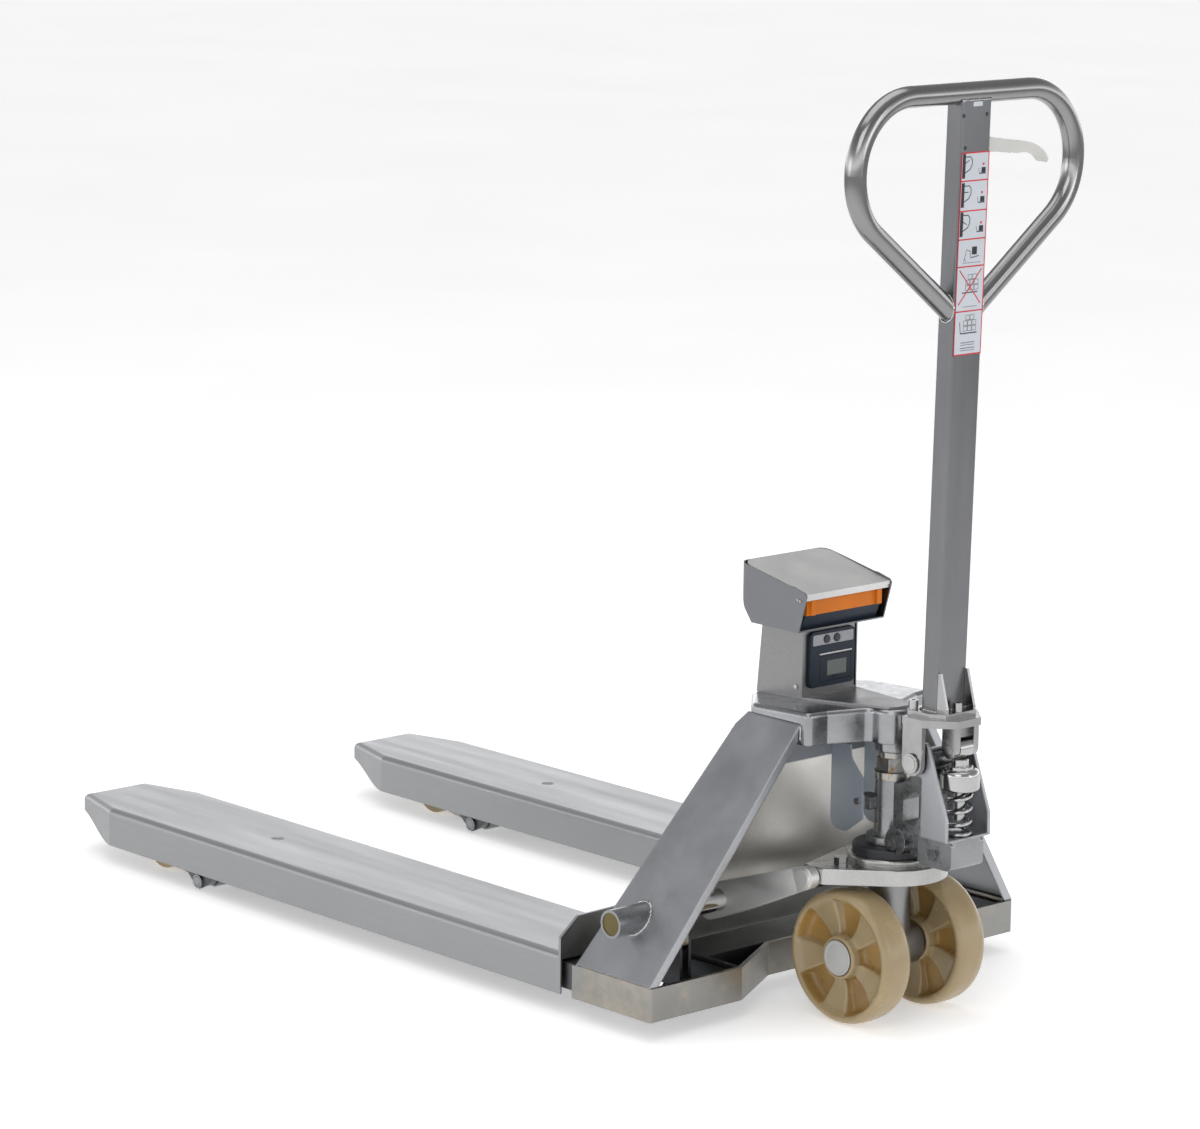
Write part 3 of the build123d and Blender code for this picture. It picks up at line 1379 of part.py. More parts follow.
# ---------------------------------------------------------------- tiller
EAR_Y0 = 44.0
EAR_Y1 = 51.5
with BuildPart() as tiller_foot:
    with BuildSketch(Plane.XY.offset(FOOT_TOP)):
        with BuildLine():
            Polyline(
                (fx(-62), 40),
                (fx(-57), 34),
                (fx(-57), -34),
                (fx(-62), -40),
                (fx(-100), -40),
                (fx(-119), -28),
                (fx(-119), 28),
                (fx(-100), 40),
                close=True,
            )
        make_face()
    extrude(amount=-7)
    # fork below the foot: two outer ears on the pivot pin
    with BuildSketch(Plane.XY.offset(FOOT_TOP - 7)):
        with BuildLine():
            Polyline(
                (fx(-64), EAR_Y1),
                (fx(-64), -EAR_Y1),
                (fx(-100), -EAR_Y1),
                (fx(-134), -22),
                (fx(-134), 22),
                (fx(-100), EAR_Y1),
                close=True,
            )
        make_face()
    extrude(amount=-10)
    for side in (1, -1):
        with BuildSketch(Plane.XZ.offset(-side * EAR_Y1)):
            with BuildLine():
                Polyline(
                    (fx(-65), FOOT_TOP - 12),
                    (fx(-65), TILT_Z),
                    (fx(-99), TILT_Z),
                    (fx(-99), FOOT_TOP - 12),
                    close=True,
                )
            make_face()
            with Locations((TILT_X, TILT_Z)):
                Circle(17)
                Circle(TILT_PIN_R + RUN, mode=Mode.SUBTRACT)
        extrude(amount=side * (EAR_Y1 - EAR_Y0))
        # inner legs carry the roller that presses the plunger
        with BuildSketch(Plane.XZ.offset(-side * 21.5)):
            with BuildLine():
                Polyline(
                    (fx(-131), FOOT_TOP - 12),
                    (fx(-131), ROLL_Z),
                    (fx(-107), ROLL_Z),
                    (fx(-107), FOOT_TOP - 12),
                    close=True,
                )
            make_face()
            with Locations((ROLL_X, ROLL_Z)):
                Circle(12)
                Circle(6, mode=Mode.SUBTRACT)
        extrude(amount=side * 9)
    # pin for the roller, and a gusset each side behind the tube
    with BuildSketch(Plane.XZ):
        with Locations((ROLL_X, ROLL_Z)):
            Circle(6)
    extrude(amount=23, both=True)
    for side in (1, -1):
        with BuildSketch(Plane.XZ.offset(-side * 27)):
            with BuildLine():
                Polyline(
                    (fx(-101.2), FOOT_TOP),
                    (fx(-102.4), FOOT_TOP + 52),
                    (fx(-106), FOOT_TOP + 52),
                    (fx(-119), FOOT_TOP + 6),
                    (fx(-119), FOOT_TOP),
                    close=True,
                )
            make_face()
        extrude(amount=side * 4)
tiller_foot.part.label = "tiller_foot"
export_step(tiller_foot.part, "parts/tiller_foot.step")

with BuildPart() as press_roller:
    with BuildSketch(Plane.XZ):
        with Locations((ROLL_X, ROLL_Z)):
            Circle(ROLL_R)
            Circle(6, mode=Mode.SUBTRACT)
    extrude(amount=12, both=True)
press_roller.part.label = "press_roller"
export_step(press_roller.part, "parts/press_roller.step")

with BuildPart() as foot_bolts:
    with BuildSketch(Plane.XY.offset(FOOT_TOP)):
        with Locations((fx(-65), 32), (fx(-65), -32), (fx(-112), 0)):
            Circle(6.5)
    extrude(amount=12)
    with BuildSketch(Plane.XY.offset(FOOT_TOP + 12)):
        with Locations((fx(-65), 32), (fx(-65), -32), (fx(-112), 0)):
            RegularPolygon(3.4, 6)
    extrude(amount=-6, mode=Mode.SUBTRACT)
foot_bolts.part.label = "foot_bolts"
export_step(foot_bolts.part, "parts/foot_bolts.step")

# handle plane: x across the truck, y up the leaning tube, z forward
lean = math.radians(LEAN)
handle_plane = Plane(
    origin=(fx(-87), 0, FOOT_TOP),
    x_dir=(0, 1, 0),
    z_dir=(math.cos(lean), 0, math.sin(lean)),
)
TUBE_W = 54.0
TUBE_D = 28.0
TUBE_L = 786.0
LOOP_R = 14.0
LOOP_HALF = 199.5
LOOP_TOP = 795.5
LOOP_BEND = 656.0
LOOP_ROOT = 521.0
LOOP_FILLET = 92.0
LEVER_V = 726.0           # hand lever, height up the tube
LEVER_ROOT = -17.0
tube_plane = Plane(
    origin=(fx(-87), 0, FOOT_TOP),
    x_dir=(0, 1, 0),
    z_dir=(-math.sin(lean), 0, math.cos(lean)),
)
with BuildPart() as tiller_tube:
    with BuildSketch(tube_plane):
        RectangleRounded(TUBE_W, TUBE_D, 4)
        RectangleRounded(TUBE_W - 6, TUBE_D - 6, 2, mode=Mode.SUBTRACT)
    extrude(amount=TUBE_L)
    with BuildSketch(Plane.XY.offset(FOOT_TOP)):
        with Locations((fx(-87), 0)):
            Rectangle(90, 90)
    extrude(amount=-10, mode=Mode.SUBTRACT)
    with BuildLine(handle_plane):
        Line((-LOOP_HALF, LOOP_TOP), (LOOP_HALF, LOOP_TOP))
    with BuildSketch(Plane(origin=handle_plane.from_local_coords((-LOOP_HALF, LOOP_TOP, 0)), z_dir=(0, 1, 0))):
        Circle(LOOP_R + 0.1)
    sweep(mode=Mode.SUBTRACT)
    # slot in the side wall for the hand lever
    with BuildSketch(handle_plane.offset(-8)):
        with Locations((-TUBE_W / 2, LEVER_V + 2)):
            Rectangle(9, 42)
    extrude(amount=16, mode=Mode.SUBTRACT)
tiller_tube.part.label = "tiller_tube"
export_step(tiller_tube.part, "parts/tiller_tube.step")

with BuildPart() as handle_loop:
    with BuildLine(handle_plane):
        FilletPolyline(
            (TUBE_W / 2 - 4, LOOP_ROOT),
            (LOOP_HALF, LOOP_BEND),
            (LOOP_HALF, LOOP_TOP),
            (-LOOP_HALF, LOOP_TOP),
            (-LOOP_HALF, LOOP_BEND),
            (-TUBE_W / 2 + 4, LOOP_ROOT),
            radius=LOOP_FILLET,
        )
    start = handle_plane.from_local_coords((TUBE_W / 2 - 4, LOOP_ROOT, 0))
    towards = handle_plane.from_local_coords((LOOP_HALF, LOOP_BEND, 0))
    with BuildSketch(Plane(origin=start, z_dir=towards - start)):
        Circle(LOOP_R)
    sweep()
    with BuildSketch(tube_plane):
        Rectangle(TUBE_W, TUBE_D)
    extrude(amount=700, mode=Mode.SUBTRACT)
handle_loop.part.label = "handle_loop"
export_step(handle_loop.part, "parts/handle_loop.step")

# hand lever on the right side of the tube, inside the loop
GRIP_PITCH = 14.0
with BuildPart() as hand_lever:
    with BuildSketch(handle_plane.offset(-7)):
        with BuildLine():
            Spline(
                (LEVER_ROOT, LEVER_V + 11),
                (-42, LEVER_V + 11),
                (-77, LEVER_V + 6),
                (-120, LEVER_V - 2),
                (-139, LEVER_V - 14.5),
                (-145, LEVER_V - 22),
            )
            Polyline((-145, LEVER_V - 22), (-142, LEVER_V - 26.5), (-137, LEVER_V - 25.5), (-128, LEVER_V - 18))
            Spline(
                (-128, LEVER_V - 18),
                (-118, LEVER_V - 13.5),
                (-84, LEVER_V - 11),
                (-43, LEVER_V - 7),
                (LEVER_ROOT, LEVER_V - 6),
            )
            Line((LEVER_ROOT, LEVER_V - 6), (LEVER_ROOT, LEVER_V + 11))
        make_face()
    extrude(amount=14)
    # finger grooves along the lower edge
    with BuildSketch(handle_plane.offset(-8)):
        for step in range(5):
            with Locations((-49 - GRIP_PITCH * step, LEVER_V - 15 - 1.4 * step)):
                Circle(8.4)
    extrude(amount=16, mode=Mode.SUBTRACT)
hand_lever.part.label = "hand_lever"
export_step(hand_lever.part, "parts/hand_lever.step")
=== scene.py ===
import math

import bmesh
import bpy
from mathutils import Matrix, Vector


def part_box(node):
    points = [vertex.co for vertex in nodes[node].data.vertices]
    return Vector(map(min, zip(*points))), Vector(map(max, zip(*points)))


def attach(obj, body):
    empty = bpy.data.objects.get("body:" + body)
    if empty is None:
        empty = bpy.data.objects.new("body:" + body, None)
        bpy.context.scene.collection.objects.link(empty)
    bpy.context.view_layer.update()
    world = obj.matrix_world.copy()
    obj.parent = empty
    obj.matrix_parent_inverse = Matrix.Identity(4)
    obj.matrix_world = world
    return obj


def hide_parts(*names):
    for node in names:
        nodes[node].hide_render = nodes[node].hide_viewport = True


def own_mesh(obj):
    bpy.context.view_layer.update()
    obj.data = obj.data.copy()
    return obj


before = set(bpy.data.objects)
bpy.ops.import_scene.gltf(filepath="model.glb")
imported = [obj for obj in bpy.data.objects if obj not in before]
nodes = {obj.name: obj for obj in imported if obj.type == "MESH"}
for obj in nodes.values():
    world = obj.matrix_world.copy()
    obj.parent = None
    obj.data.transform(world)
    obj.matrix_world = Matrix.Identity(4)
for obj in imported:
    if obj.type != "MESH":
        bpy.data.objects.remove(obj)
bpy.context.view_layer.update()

# ------------------------------------------------------------------ reference places
STEER = (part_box("ram")[0].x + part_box("ram")[1].x) / 2
MM = 0.001


def fx(d):
    """x of a point d millimetres ahead of the steering axis."""
    return STEER + d * MM


# tiller tube: where its foot stands, how it leans back, and half its width and depth in millimetres
TUBE_X = -87
TUBE_FOOT_Z = 0.4265
TUBE_HALF_W = 27
TUBE_HALF_D = 14
LEAN = math.radians(1.2)
TUBE_ORIGIN = Vector((fx(TUBE_X), 0, TUBE_FOOT_Z))
TUBE_UP = Vector((-math.sin(LEAN), 0, math.cos(LEAN)))
TUBE_OUT = Vector((-math.cos(LEAN), 0, -math.sin(LEAN)))   # towards the user


def on_tube(across, up, out=0.0):
    """Point on the leaning tube: millimetres across (left +), up the tube, and out of its rear face."""
    along = Vector((0, across * MM, 0)) + TUBE_UP * (up * MM)
    return TUBE_ORIGIN + along + TUBE_OUT * ((TUBE_HALF_D + out) * MM)


# ------------------------------------------------------------------ materials
# dark bluish tone for the panel's upper band: painted reflection of the dark pump region
PAINTED_REFLECTION_BLUE = (0.155, 0.165, 0.18)
HEAT_TAN = (0.62, 0.50, 0.36)
DUST_GREY = (0.35, 0.36, 0.38)
EVEN = (1, 1, 1)                        # noise scale without a grain direction


def new_material(name):
    """Node material with its tree and its principled shader."""
    m = bpy.data.materials.new(name)
    m.use_nodes = True
    nt = m.node_tree
    return m, nt, nt.nodes["Principled BSDF"]


def noise(nt, scale_xyz, scale=1.0, detail=4.0, rough=0.55):
    """Fractal noise over the object's own coordinates, stretched along the axis with the small scale."""
    tc = nt.nodes.new("ShaderNodeTexCoord")
    mp = nt.nodes.new("ShaderNodeMapping")
    mp.inputs["Scale"].default_value = scale_xyz
    nz = nt.nodes.new("ShaderNodeTexNoise")
    nz.inputs["Scale"].default_value = scale
    nz.inputs["Detail"].default_value = detail
    nz.inputs["Roughness"].default_value = rough
    nt.links.new(tc.outputs["Object"], mp.inputs["Vector"])
    nt.links.new(mp.outputs["Vector"], nz.inputs["Vector"])
    return nz.outputs["Fac"]


def ramp(nt, fac, stops):
    """Colour ramp through (position, colour) stops."""
    r = nt.nodes.new("ShaderNodeValToRGB")
    first, last = r.color_ramp.elements
    for element, (pos, col) in ((first, stops[0]), (last, stops[-1])):
        element.position = pos
        element.color = (*col, 1)
    for pos, col in stops[1:-1]:
        e = r.color_ramp.elements.new(pos)
        e.color = (*col, 1)
    nt.links.new(fac, r.inputs["Fac"])
    return r.outputs["Color"]


def spread(nt, fac, lo, hi, a=0.3, b=0.7):
    """Maps a..b onto lo..hi, clamped."""
    r = nt.nodes.new("ShaderNodeMapRange")
    r.inputs["From Min"].default_value = a
    r.inputs["From Max"].default_value = b
    r.inputs["To Min"].default_value = lo
    r.inputs["To Max"].default_value = hi
    nt.links.new(fac, r.inputs["Value"])
    return r.outputs["Result"]


def mix(nt, fac, a, b, blend="MIX"):
    """Blends two colours, each a socket or a plain colour."""
    m = nt.nodes.new("ShaderNodeMix")
    m.data_type = "RGBA"
    m.blend_type = blend
    m.clamp_result = False
    if isinstance(fac, (int, float)):
        m.inputs["Factor"].default_value = fac
    else:
        nt.links.new(fac, m.inputs["Factor"])
    for socket, value in (("A", a), ("B", b)):
        target = [s for s in m.inputs if s.name == socket and s.type == "RGBA"][0]
        if isinstance(value, tuple):
            target.default_value = (*value, 1)
        else:
            nt.links.new(value, target)
    return [s for s in m.outputs if s.type == "RGBA"][0]


def bump(nt, height, strength, distance, normal):
    b = nt.nodes.new("ShaderNodeBump")
    b.inputs["Strength"].default_value = strength
    b.inputs["Distance"].default_value = distance
    nt.links.new(height, b.inputs["Height"])
    nt.links.new(normal, b.inputs["Normal"])
    return b.outputs["Normal"]


def soft_edge(nt, radius):
    """Normal that rounds the edges when shaded."""
    b = nt.nodes.new("ShaderNodeBevel")
    b.samples = 4
    b.inputs["Radius"].default_value = radius
    return b.outputs["Normal"]


def tint(c, k):
    """Colour made k times as bright, at most white."""
    return tuple(min(1.0, x * k) for x in c)


def steel(name, base, rough, grain, grain_scale, edge=0.0008, blotch=0.08, warm=0.0, relief=0.25,
          top=0.0, band=None):
    """Brushed or ground stainless: fine lines stretched along one axis, slow blotches, soft edges."""
    m, nt, p = new_material(name)
    lines = noise(nt, grain, grain_scale, 6, 0.62)
    slow = noise(nt, EVEN, 9.0, 3, 0.5)
    smear = noise(nt, tuple(max(0.4, g * 0.08) for g in grain), 7.0, 4, 0.6)
    colour = ramp(nt, lines, [(0.25, tint(base, 0.88)), (0.55, base), (0.8, tint(base, 1.07))])
    colour = mix(nt, spread(nt, slow, 0.0, 1.0, 0.35, 0.7), colour, tint(base, 1.0 - blotch))
    if top:
        # faces that look up are painted brighter: painted light from above
        face = nt.nodes.new("ShaderNodeTexCoord")
        up = nt.nodes.new("ShaderNodeSeparateXYZ")
        nt.links.new(face.outputs["Normal"], up.inputs[0])
        painted_top_light = mix(nt, 1.0, colour, (top, top, top), "MULTIPLY")
        colour = mix(nt, spread(nt, up.outputs["Z"], 0.0, 1.0, 0.25, 0.97), colour, painted_top_light)
    if band is not None:
        # plate above a given height is painted darker and bluish: a painted reflection of the dark pump
        # region
        place = nt.nodes.new("ShaderNodeTexCoord")
        level_at = nt.nodes.new("ShaderNodeSeparateXYZ")
        nt.links.new(place.outputs["Object"], level_at.inputs[0])
        painted_reflection_mask = spread(nt, level_at.outputs["Z"], 0.0, 1.0, band - 0.001, band + 0.001)
        colour = mix(nt, painted_reflection_mask, colour, PAINTED_REFLECTION_BLUE)
    if warm:
        tan = noise(nt, EVEN, 13.0, 4, 0.6)
        colour = mix(nt, spread(nt, tan, 0.0, warm, 0.45, 0.75), colour, HEAT_TAN)
    nt.links.new(colour, p.inputs["Base Color"])
    p.inputs["Metallic"].default_value = 1.0
    nt.links.new(spread(nt, smear, rough * 0.82, rough * 1.25), p.inputs["Roughness"])
    height = mix(nt, 0.5, lines, slow)
    nt.links.new(bump(nt, height, relief, 0.0004, soft_edge(nt, edge)), p.inputs["Normal"])
    return m


def cast(name, base, rough=0.25, pit=260.0, relief=0.35, edge=0.0014, stain=None):
    """Electropolished casting: softly lumpy, bright, with small pits."""
    m, nt, p = new_material(name)
    lumps = noise(nt, EVEN, 55.0, 5, 0.6)
    pits = noise(nt, EVEN, pit, 3, 0.6)
    slow = noise(nt, EVEN, 14.0, 3, 0.5)
    colour = ramp(nt, slow, [(0.3, tint(base, 0.84)), (0.55, base), (0.75, tint(base, 1.08))])
    colour = mix(nt, spread(nt, pits, 0.16, 0.0, 0.3, 0.45), colour, tint(base, 0.55))
    if stain is not None:
        rust = noise(nt, EVEN, 70.0, 5, 0.7)
        colour = mix(nt, spread(nt, rust, 0.0, 0.85, 0.53, 0.66), colour, stain)
    nt.links.new(colour, p.inputs["Base Color"])
    p.inputs["Metallic"].default_value = 1.0
    nt.links.new(spread(nt, lumps, rough * 0.75, rough * 1.35), p.inputs["Roughness"])
    height = mix(nt, 0.35, lumps, pits)
    nt.links.new(bump(nt, height, relief, 0.0007, soft_edge(nt, edge)), p.inputs["Normal"])
    return m


def plastic(name, base, rough, speck, relief, coat=0.0, sss=0.0, vary=0.06, dust=0.0, spec=0.5):
    """Moulded plastic, rubber, paper or print: fine specks, slow shade changes, soft edges."""
    m, nt, p = new_material(name)
    p.inputs["Specular IOR Level"].default_value = spec
    fine = noise(nt, EVEN, speck, 2, 0.5)
    slow = noise(nt, EVEN, 18.0, 3, 0.5)
    colour = ramp(nt, slow, [(0.3, tint(base, 1 - vary)), (0.7, tint(base, 1 + vary))])
    if dust:
        colour = mix(nt, spread(nt, fine, 0.0, dust, 0.5, 0.75), colour, DUST_GREY)
    nt.links.new(colour, p.inputs["Base Color"])
    nt.links.new(spread(nt, slow, rough * 0.85, rough * 1.2), p.inputs["Roughness"])
    p.inputs["Coat Weight"].default_value = coat
    if sss:
        p.inputs["Subsurface Weight"].default_value = sss
        p.inputs["Subsurface Radius"].default_value = (0.010, 0.007, 0.004)
        p.inputs["Subsurface Scale"].default_value = 1.0
    nt.links.new(bump(nt, fine, relief, 0.0002, soft_edge(nt, 0.0006)), p.inputs["Normal"])
    return m


# the fork's upward faces get painted light (top=1.85), brighter than its sides
FORK = steel("satin_fork", (0.30, 0.304, 0.308), rough=0.34, grain=(1.2, 60, 60), grain_scale=22.0,
             edge=0.0012, blotch=0.05, top=1.85)
STRAP = steel("satin_strap", (0.42, 0.43, 0.45), rough=0.36, grain=(26, 26, 26), grain_scale=16.0,
              edge=0.0035, blotch=0.08, relief=0.15)
# panel above 305.5 mm painted dark and bluish (band): painted reflection, not the plate's own colour
PANEL = steel("satin_panel", (0.80, 0.79, 0.75), rough=0.40, grain=(20, 20, 20), grain_scale=16.0,
              edge=0.0009, blotch=0.10, relief=0.15, band=0.3055)
BAR = steel("ground_bar", (0.285, 0.283, 0.27), rough=0.33, grain=(3, 3, 60), grain_scale=18.0,
            edge=0.0012, blotch=0.18, warm=0.45, relief=0.35)
DARK_STEEL = steel("shaded_steel", (0.12, 0.125, 0.13), rough=0.45, grain=(8, 8, 8), grain_scale=16.0,
                   edge=0.0008, blotch=0.2)
TUBE = steel("brushed_tube", (0.222, 0.225, 0.232), rough=0.33, grain=(50, 50, 1.2), grain_scale=24.0,
             edge=0.0012, blotch=0.10)
LOOP = steel("polished_loop", (0.29, 0.29, 0.288), rough=0.19, grain=(30, 6, 30), grain_scale=26.0,
             edge=0.0008, blotch=0.10, relief=0.12)
COLUMN = steel("satin_column", (0.266, 0.267, 0.268), rough=0.36, grain=(24, 24, 24), grain_scale=20.0,
               edge=0.0007, blotch=0.08, relief=0.15)
HOOD = steel("satin_hood", (0.217, 0.222, 0.232), rough=0.33, grain=(20, 20, 20), grain_scale=20.0,
             edge=0.0007, blotch=0.08, relief=0.12)
LID = steel("satin_lid", (0.70, 0.70, 0.685), rough=0.38, grain=(24, 24, 24), grain_scale=20.0,
            edge=0.0007, blotch=0.05, relief=0.12)
GUARD = steel("blue_plate", (0.55, 0.615, 0.70), rough=0.38, grain=(24, 24, 24), grain_scale=20.0,
              edge=0.0006, blotch=0.05, relief=0.12)
YOKE = cast("polished_yoke", (0.34, 0.345, 0.355), rough=0.22, relief=0.20, edge=0.003)
PUMP = cast("polished_casting", (0.29, 0.295, 0.30), rough=0.28, pit=120.0, relief=0.06, edge=0.0010)
GLAND = cast("stained_gland", (0.42, 0.42, 0.40), rough=0.22, stain=(0.32, 0.17, 0.03))
FOOT = cast("polished_foot", (0.38, 0.38, 0.378), rough=0.20, pit=160.0, relief=0.10, edge=0.0010)
PLATE = cast("base_plate_steel", (0.44, 0.437, 0.425), rough=0.28, relief=0.14)
# painted light: base colour raised well above the other steels so link arms and pin heads read bright where
# they mirror the dark strap
PAINTED_LIGHT_ARM = steel("brushed_arm_painted_light", (0.80, 0.80, 0.785), rough=0.46, grain=(1.2, 60, 60), grain_scale=22.0,
            edge=0.0014, blotch=0.12)
STEM = steel("satin_stem", (0.28, 0.28, 0.28), rough=0.38, grain=(20, 20, 20), grain_scale=16.0,
             edge=0.0012, blotch=0.10)
SOCKET = cast("dark_bolt", (0.22, 0.22, 0.22), rough=0.26, pit=400.0, relief=0.2, edge=0.0006)
BRIGHT = cast("bright_fastener", (0.46, 0.46, 0.455), rough=0.16, pit=400.0, relief=0.15, edge=0.0005)
CHROME = steel("ram_chrome", (0.62, 0.62, 0.63), rough=0.10, grain=(30, 30, 3), grain_scale=20.0,
               edge=0.0004, blotch=0.04, relief=0.05)
SPRING = steel("spring_wire", (0.46, 0.46, 0.46), rough=0.22, grain=(20, 20, 20), grain_scale=40.0,
               edge=0.0003, blotch=0.1)
RUBBER = plastic("black_rubber", (0.012, 0.013, 0.016), rough=0.42, speck=700.0, relief=0.2, dust=0.04)
BRASS = cast("olive_brass", (0.15, 0.12, 0.055), rough=0.38, pit=300.0, relief=0.5, edge=0.0006)
ORANGE = plastic("orange_case", (0.64, 0.17, 0.010), rough=0.42, speck=900.0, relief=0.12, spec=0.25)
NAVY = plastic("navy_case", (0.010, 0.018, 0.032), rough=0.40, speck=1100.0, relief=0.2, dust=0.03,
               spec=0.3)
KEY = plastic("dark_key", (0.030, 0.034, 0.042), rough=0.5, speck=900.0, relief=0.2)
FOIL = plastic("silver_foil", (0.34, 0.35, 0.37), rough=0.30, speck=1500.0, relief=0.1)
KEYS = plastic("key_membrane", (0.11, 0.13, 0.16), rough=0.45, speck=900.0, relief=0.1)
PAPER = plastic("thermal_paper", (0.85, 0.85, 0.82), rough=0.7, speck=500.0, relief=0.1)
IVORY = plastic("ivory_lever", (0.56, 0.56, 0.53), rough=0.42, speck=700.0, relief=0.12, sss=0.15)
NYLON = plastic("cream_nylon", (0.335, 0.258, 0.143), rough=0.24, speck=300.0, relief=0.06, sss=0.5,
                vary=0.07)
# pocket colour: the nylon's own amber tint, made darker as painted shade in the recesses
AMBER_AND_SHADE = plastic("amber_nylon_and_shade", (0.32, 0.195, 0.060), rough=0.30, speck=300.0, relief=0.06, sss=0.5,
                vary=0.22)
SEAM = plastic("mould_line", (0.34, 0.20, 0.11), rough=0.5, speck=300.0, relief=0.2, vary=0.25)
CAP = plastic("grey_cap", (0.42, 0.42, 0.405), rough=0.35, speck=600.0, relief=0.1)
PALE = plastic("label_ground", (0.54, 0.57, 0.61), rough=0.35, speck=500.0, relief=0.03, vary=0.02)
RED = plastic("label_red", (0.56, 0.02, 0.03), rough=0.35, speck=500.0, relief=0.03)
INK = plastic("label_ink", (0.010, 0.012, 0.020), rough=0.4, speck=500.0, relief=0.03)
GREY_INK = plastic("label_grey", (0.16, 0.17, 0.18), rough=0.4, speck=500.0, relief=0.03)
GLASS = plastic("display_tint", (0.055, 0.075, 0.065), rough=0.12, speck=900.0, relief=0.02, coat=0.6)

finish = {
    "weigh_fork_left": FORK, "weigh_fork_right": FORK, "fork_screws": SOCKET, "inner_forks": DARK_STEEL,
    "carrier_pivots": PUMP, "load_cells": DARK_STEEL, "rear_crossbar": BAR, "straps": STRAP,
    "shaft_bosses": PUMP, "boss_plugs": BRASS, "front_panel": PANEL, "frame_webs": DARK_STEEL, "yoke": YOKE,
    "ram": CHROME, "yoke_cover": COLUMN, "column": COLUMN, "printer_body": NAVY, "printer_strip": FOIL,
    "paper_roll": PAPER, "hood": HOOD, "head_screws": BRIGHT, "indicator_base": NAVY,
    "indicator_case": ORANGE, "display_window": GLASS, "keypad": KEYS, "hood_lid": LID, "feed_key": KEY,
    "print_key": KEY, "printer_door": NAVY, "torsion_shaft": BRIGHT, "link_arms": PAINTED_LIGHT_ARM,
    "link_pin_heads": PAINTED_LIGHT_ARM, "push_rod_left": DARK_STEEL, "push_rod_right": DARK_STEEL,
    "carrier_left": PUMP, "carrier_right": PUMP, "load_roller_left": NYLON, "load_roller_right": NYLON,
    "base_plate": PLATE, "base_bolts": BRIGHT, "thrust_bearing": RUBBER, "pump_body": PUMP, "gland": GLAND,
    "pump_bolts": SOCKET, "spring_bracket": STRAP, "tiller_pin": BRIGHT, "splash_guards": GUARD,
    "wheel_stem": STEM, "steer_wheel_left": NYLON, "steer_wheel_right": NYLON, "wheel_hub_left": RUBBER,
    "wheel_hub_right": RUBBER, "return_spring": SPRING, "plunger": BRIGHT, "tiller_foot": FOOT,
    "press_roller": BRIGHT, "foot_bolts": BRIGHT, "tiller_tube": TUBE, "handle_loop": LOOP,
    "hand_lever": IVORY,
}
for name, obj in nodes.items():
    if not obj.material_slots:
        obj.data.materials.append(None)
    for material_slot in obj.material_slots:
        material_slot.material = finish[name]


# ------------------------------------------------------------------ mesh helpers
def mesh_object(name, bm, mats, body, smooth=False):
    """Turns a bmesh into a piece that rides on a body and has a material slot name."""
    bmesh.ops.recalc_face_normals(bm, faces=bm.faces)
    me = bpy.data.meshes.new(name)
    bm.normal_update()
    bm.to_mesh(me)
    bm.free()
    for m in mats:
        me.materials.append(m)
    if smooth:
        me.shade_smooth()
    ob = bpy.data.objects.new(name, me)
    bpy.context.scene.collection.objects.link(ob)
    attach(ob, body)
    return ob


def ring_tube(bm, path, radii, sides, closed=False):
    """Sweeps a circle along a list of points, with a radius for each point."""
    rings = []
    n = len(path)
    for i, (p, r) in enumerate(zip(path, radii)):
        if closed:
            d = path[(i + 1) % n] - path[i - 1]
        else:
            d = path[min(i + 1, n - 1)] - path[max(i - 1, 0)]
        d.normalize()
        side = d.orthogonal() if i == 0 else side - d * side.dot(d)
        side.normalize()
        up = d.cross(side)
        rings.append([bm.verts.new(p + (side * math.cos(a) + up * math.sin(a)) * r)
                      for a in (2 * math.pi * k / sides for k in range(sides))])
    for i in range(n if closed else n - 1):
        a, b = rings[i], rings[(i + 1) % n]
        for k in range(sides):
            bm.faces.new((a[k], a[(k + 1) % sides], b[(k + 1) % sides], b[k])).smooth = True
    if not closed:
        bm.faces.new(list(reversed(rings[0])))
        bm.faces.new(rings[-1])


def prism(bm, points, thickness_dir, mat=0):
    """Closed prism from a flat outline and an offset vector."""
    a = [bm.verts.new(p) for p in points]
    b = [bm.verts.new(p + thickness_dir) for p in points]
    bm.faces.new(a).material_index = mat
    bm.faces.new(list(reversed(b))).material_index = mat
    n = len(a)
    for i in range(n):
        bm.faces.new((a[i], b[i], b[(i + 1) % n], a[(i + 1) % n])).material_index = mat


def weld_bead(name, path, radius, body, mat, closed=False):
    """Rippled weld bead along a path."""
    bm = bmesh.new()
    ripple = [0.86 + 0.16 * math.sin(i * 1.9) + 0.06 * math.sin(i * 5.3 + 1) for i in range(len(path))]
    ring_tube(bm, path, [radius * k for k in ripple], 8, closed)
    mesh_object(name, bm, [mat], body, smooth=True)


def line_points(a, b):
    """Points every 3.5 mm or so from a to b."""
    n = max(2, int((b - a).length / 0.0035))
    return [a.lerp(b, i / n) for i in range(n + 1)]


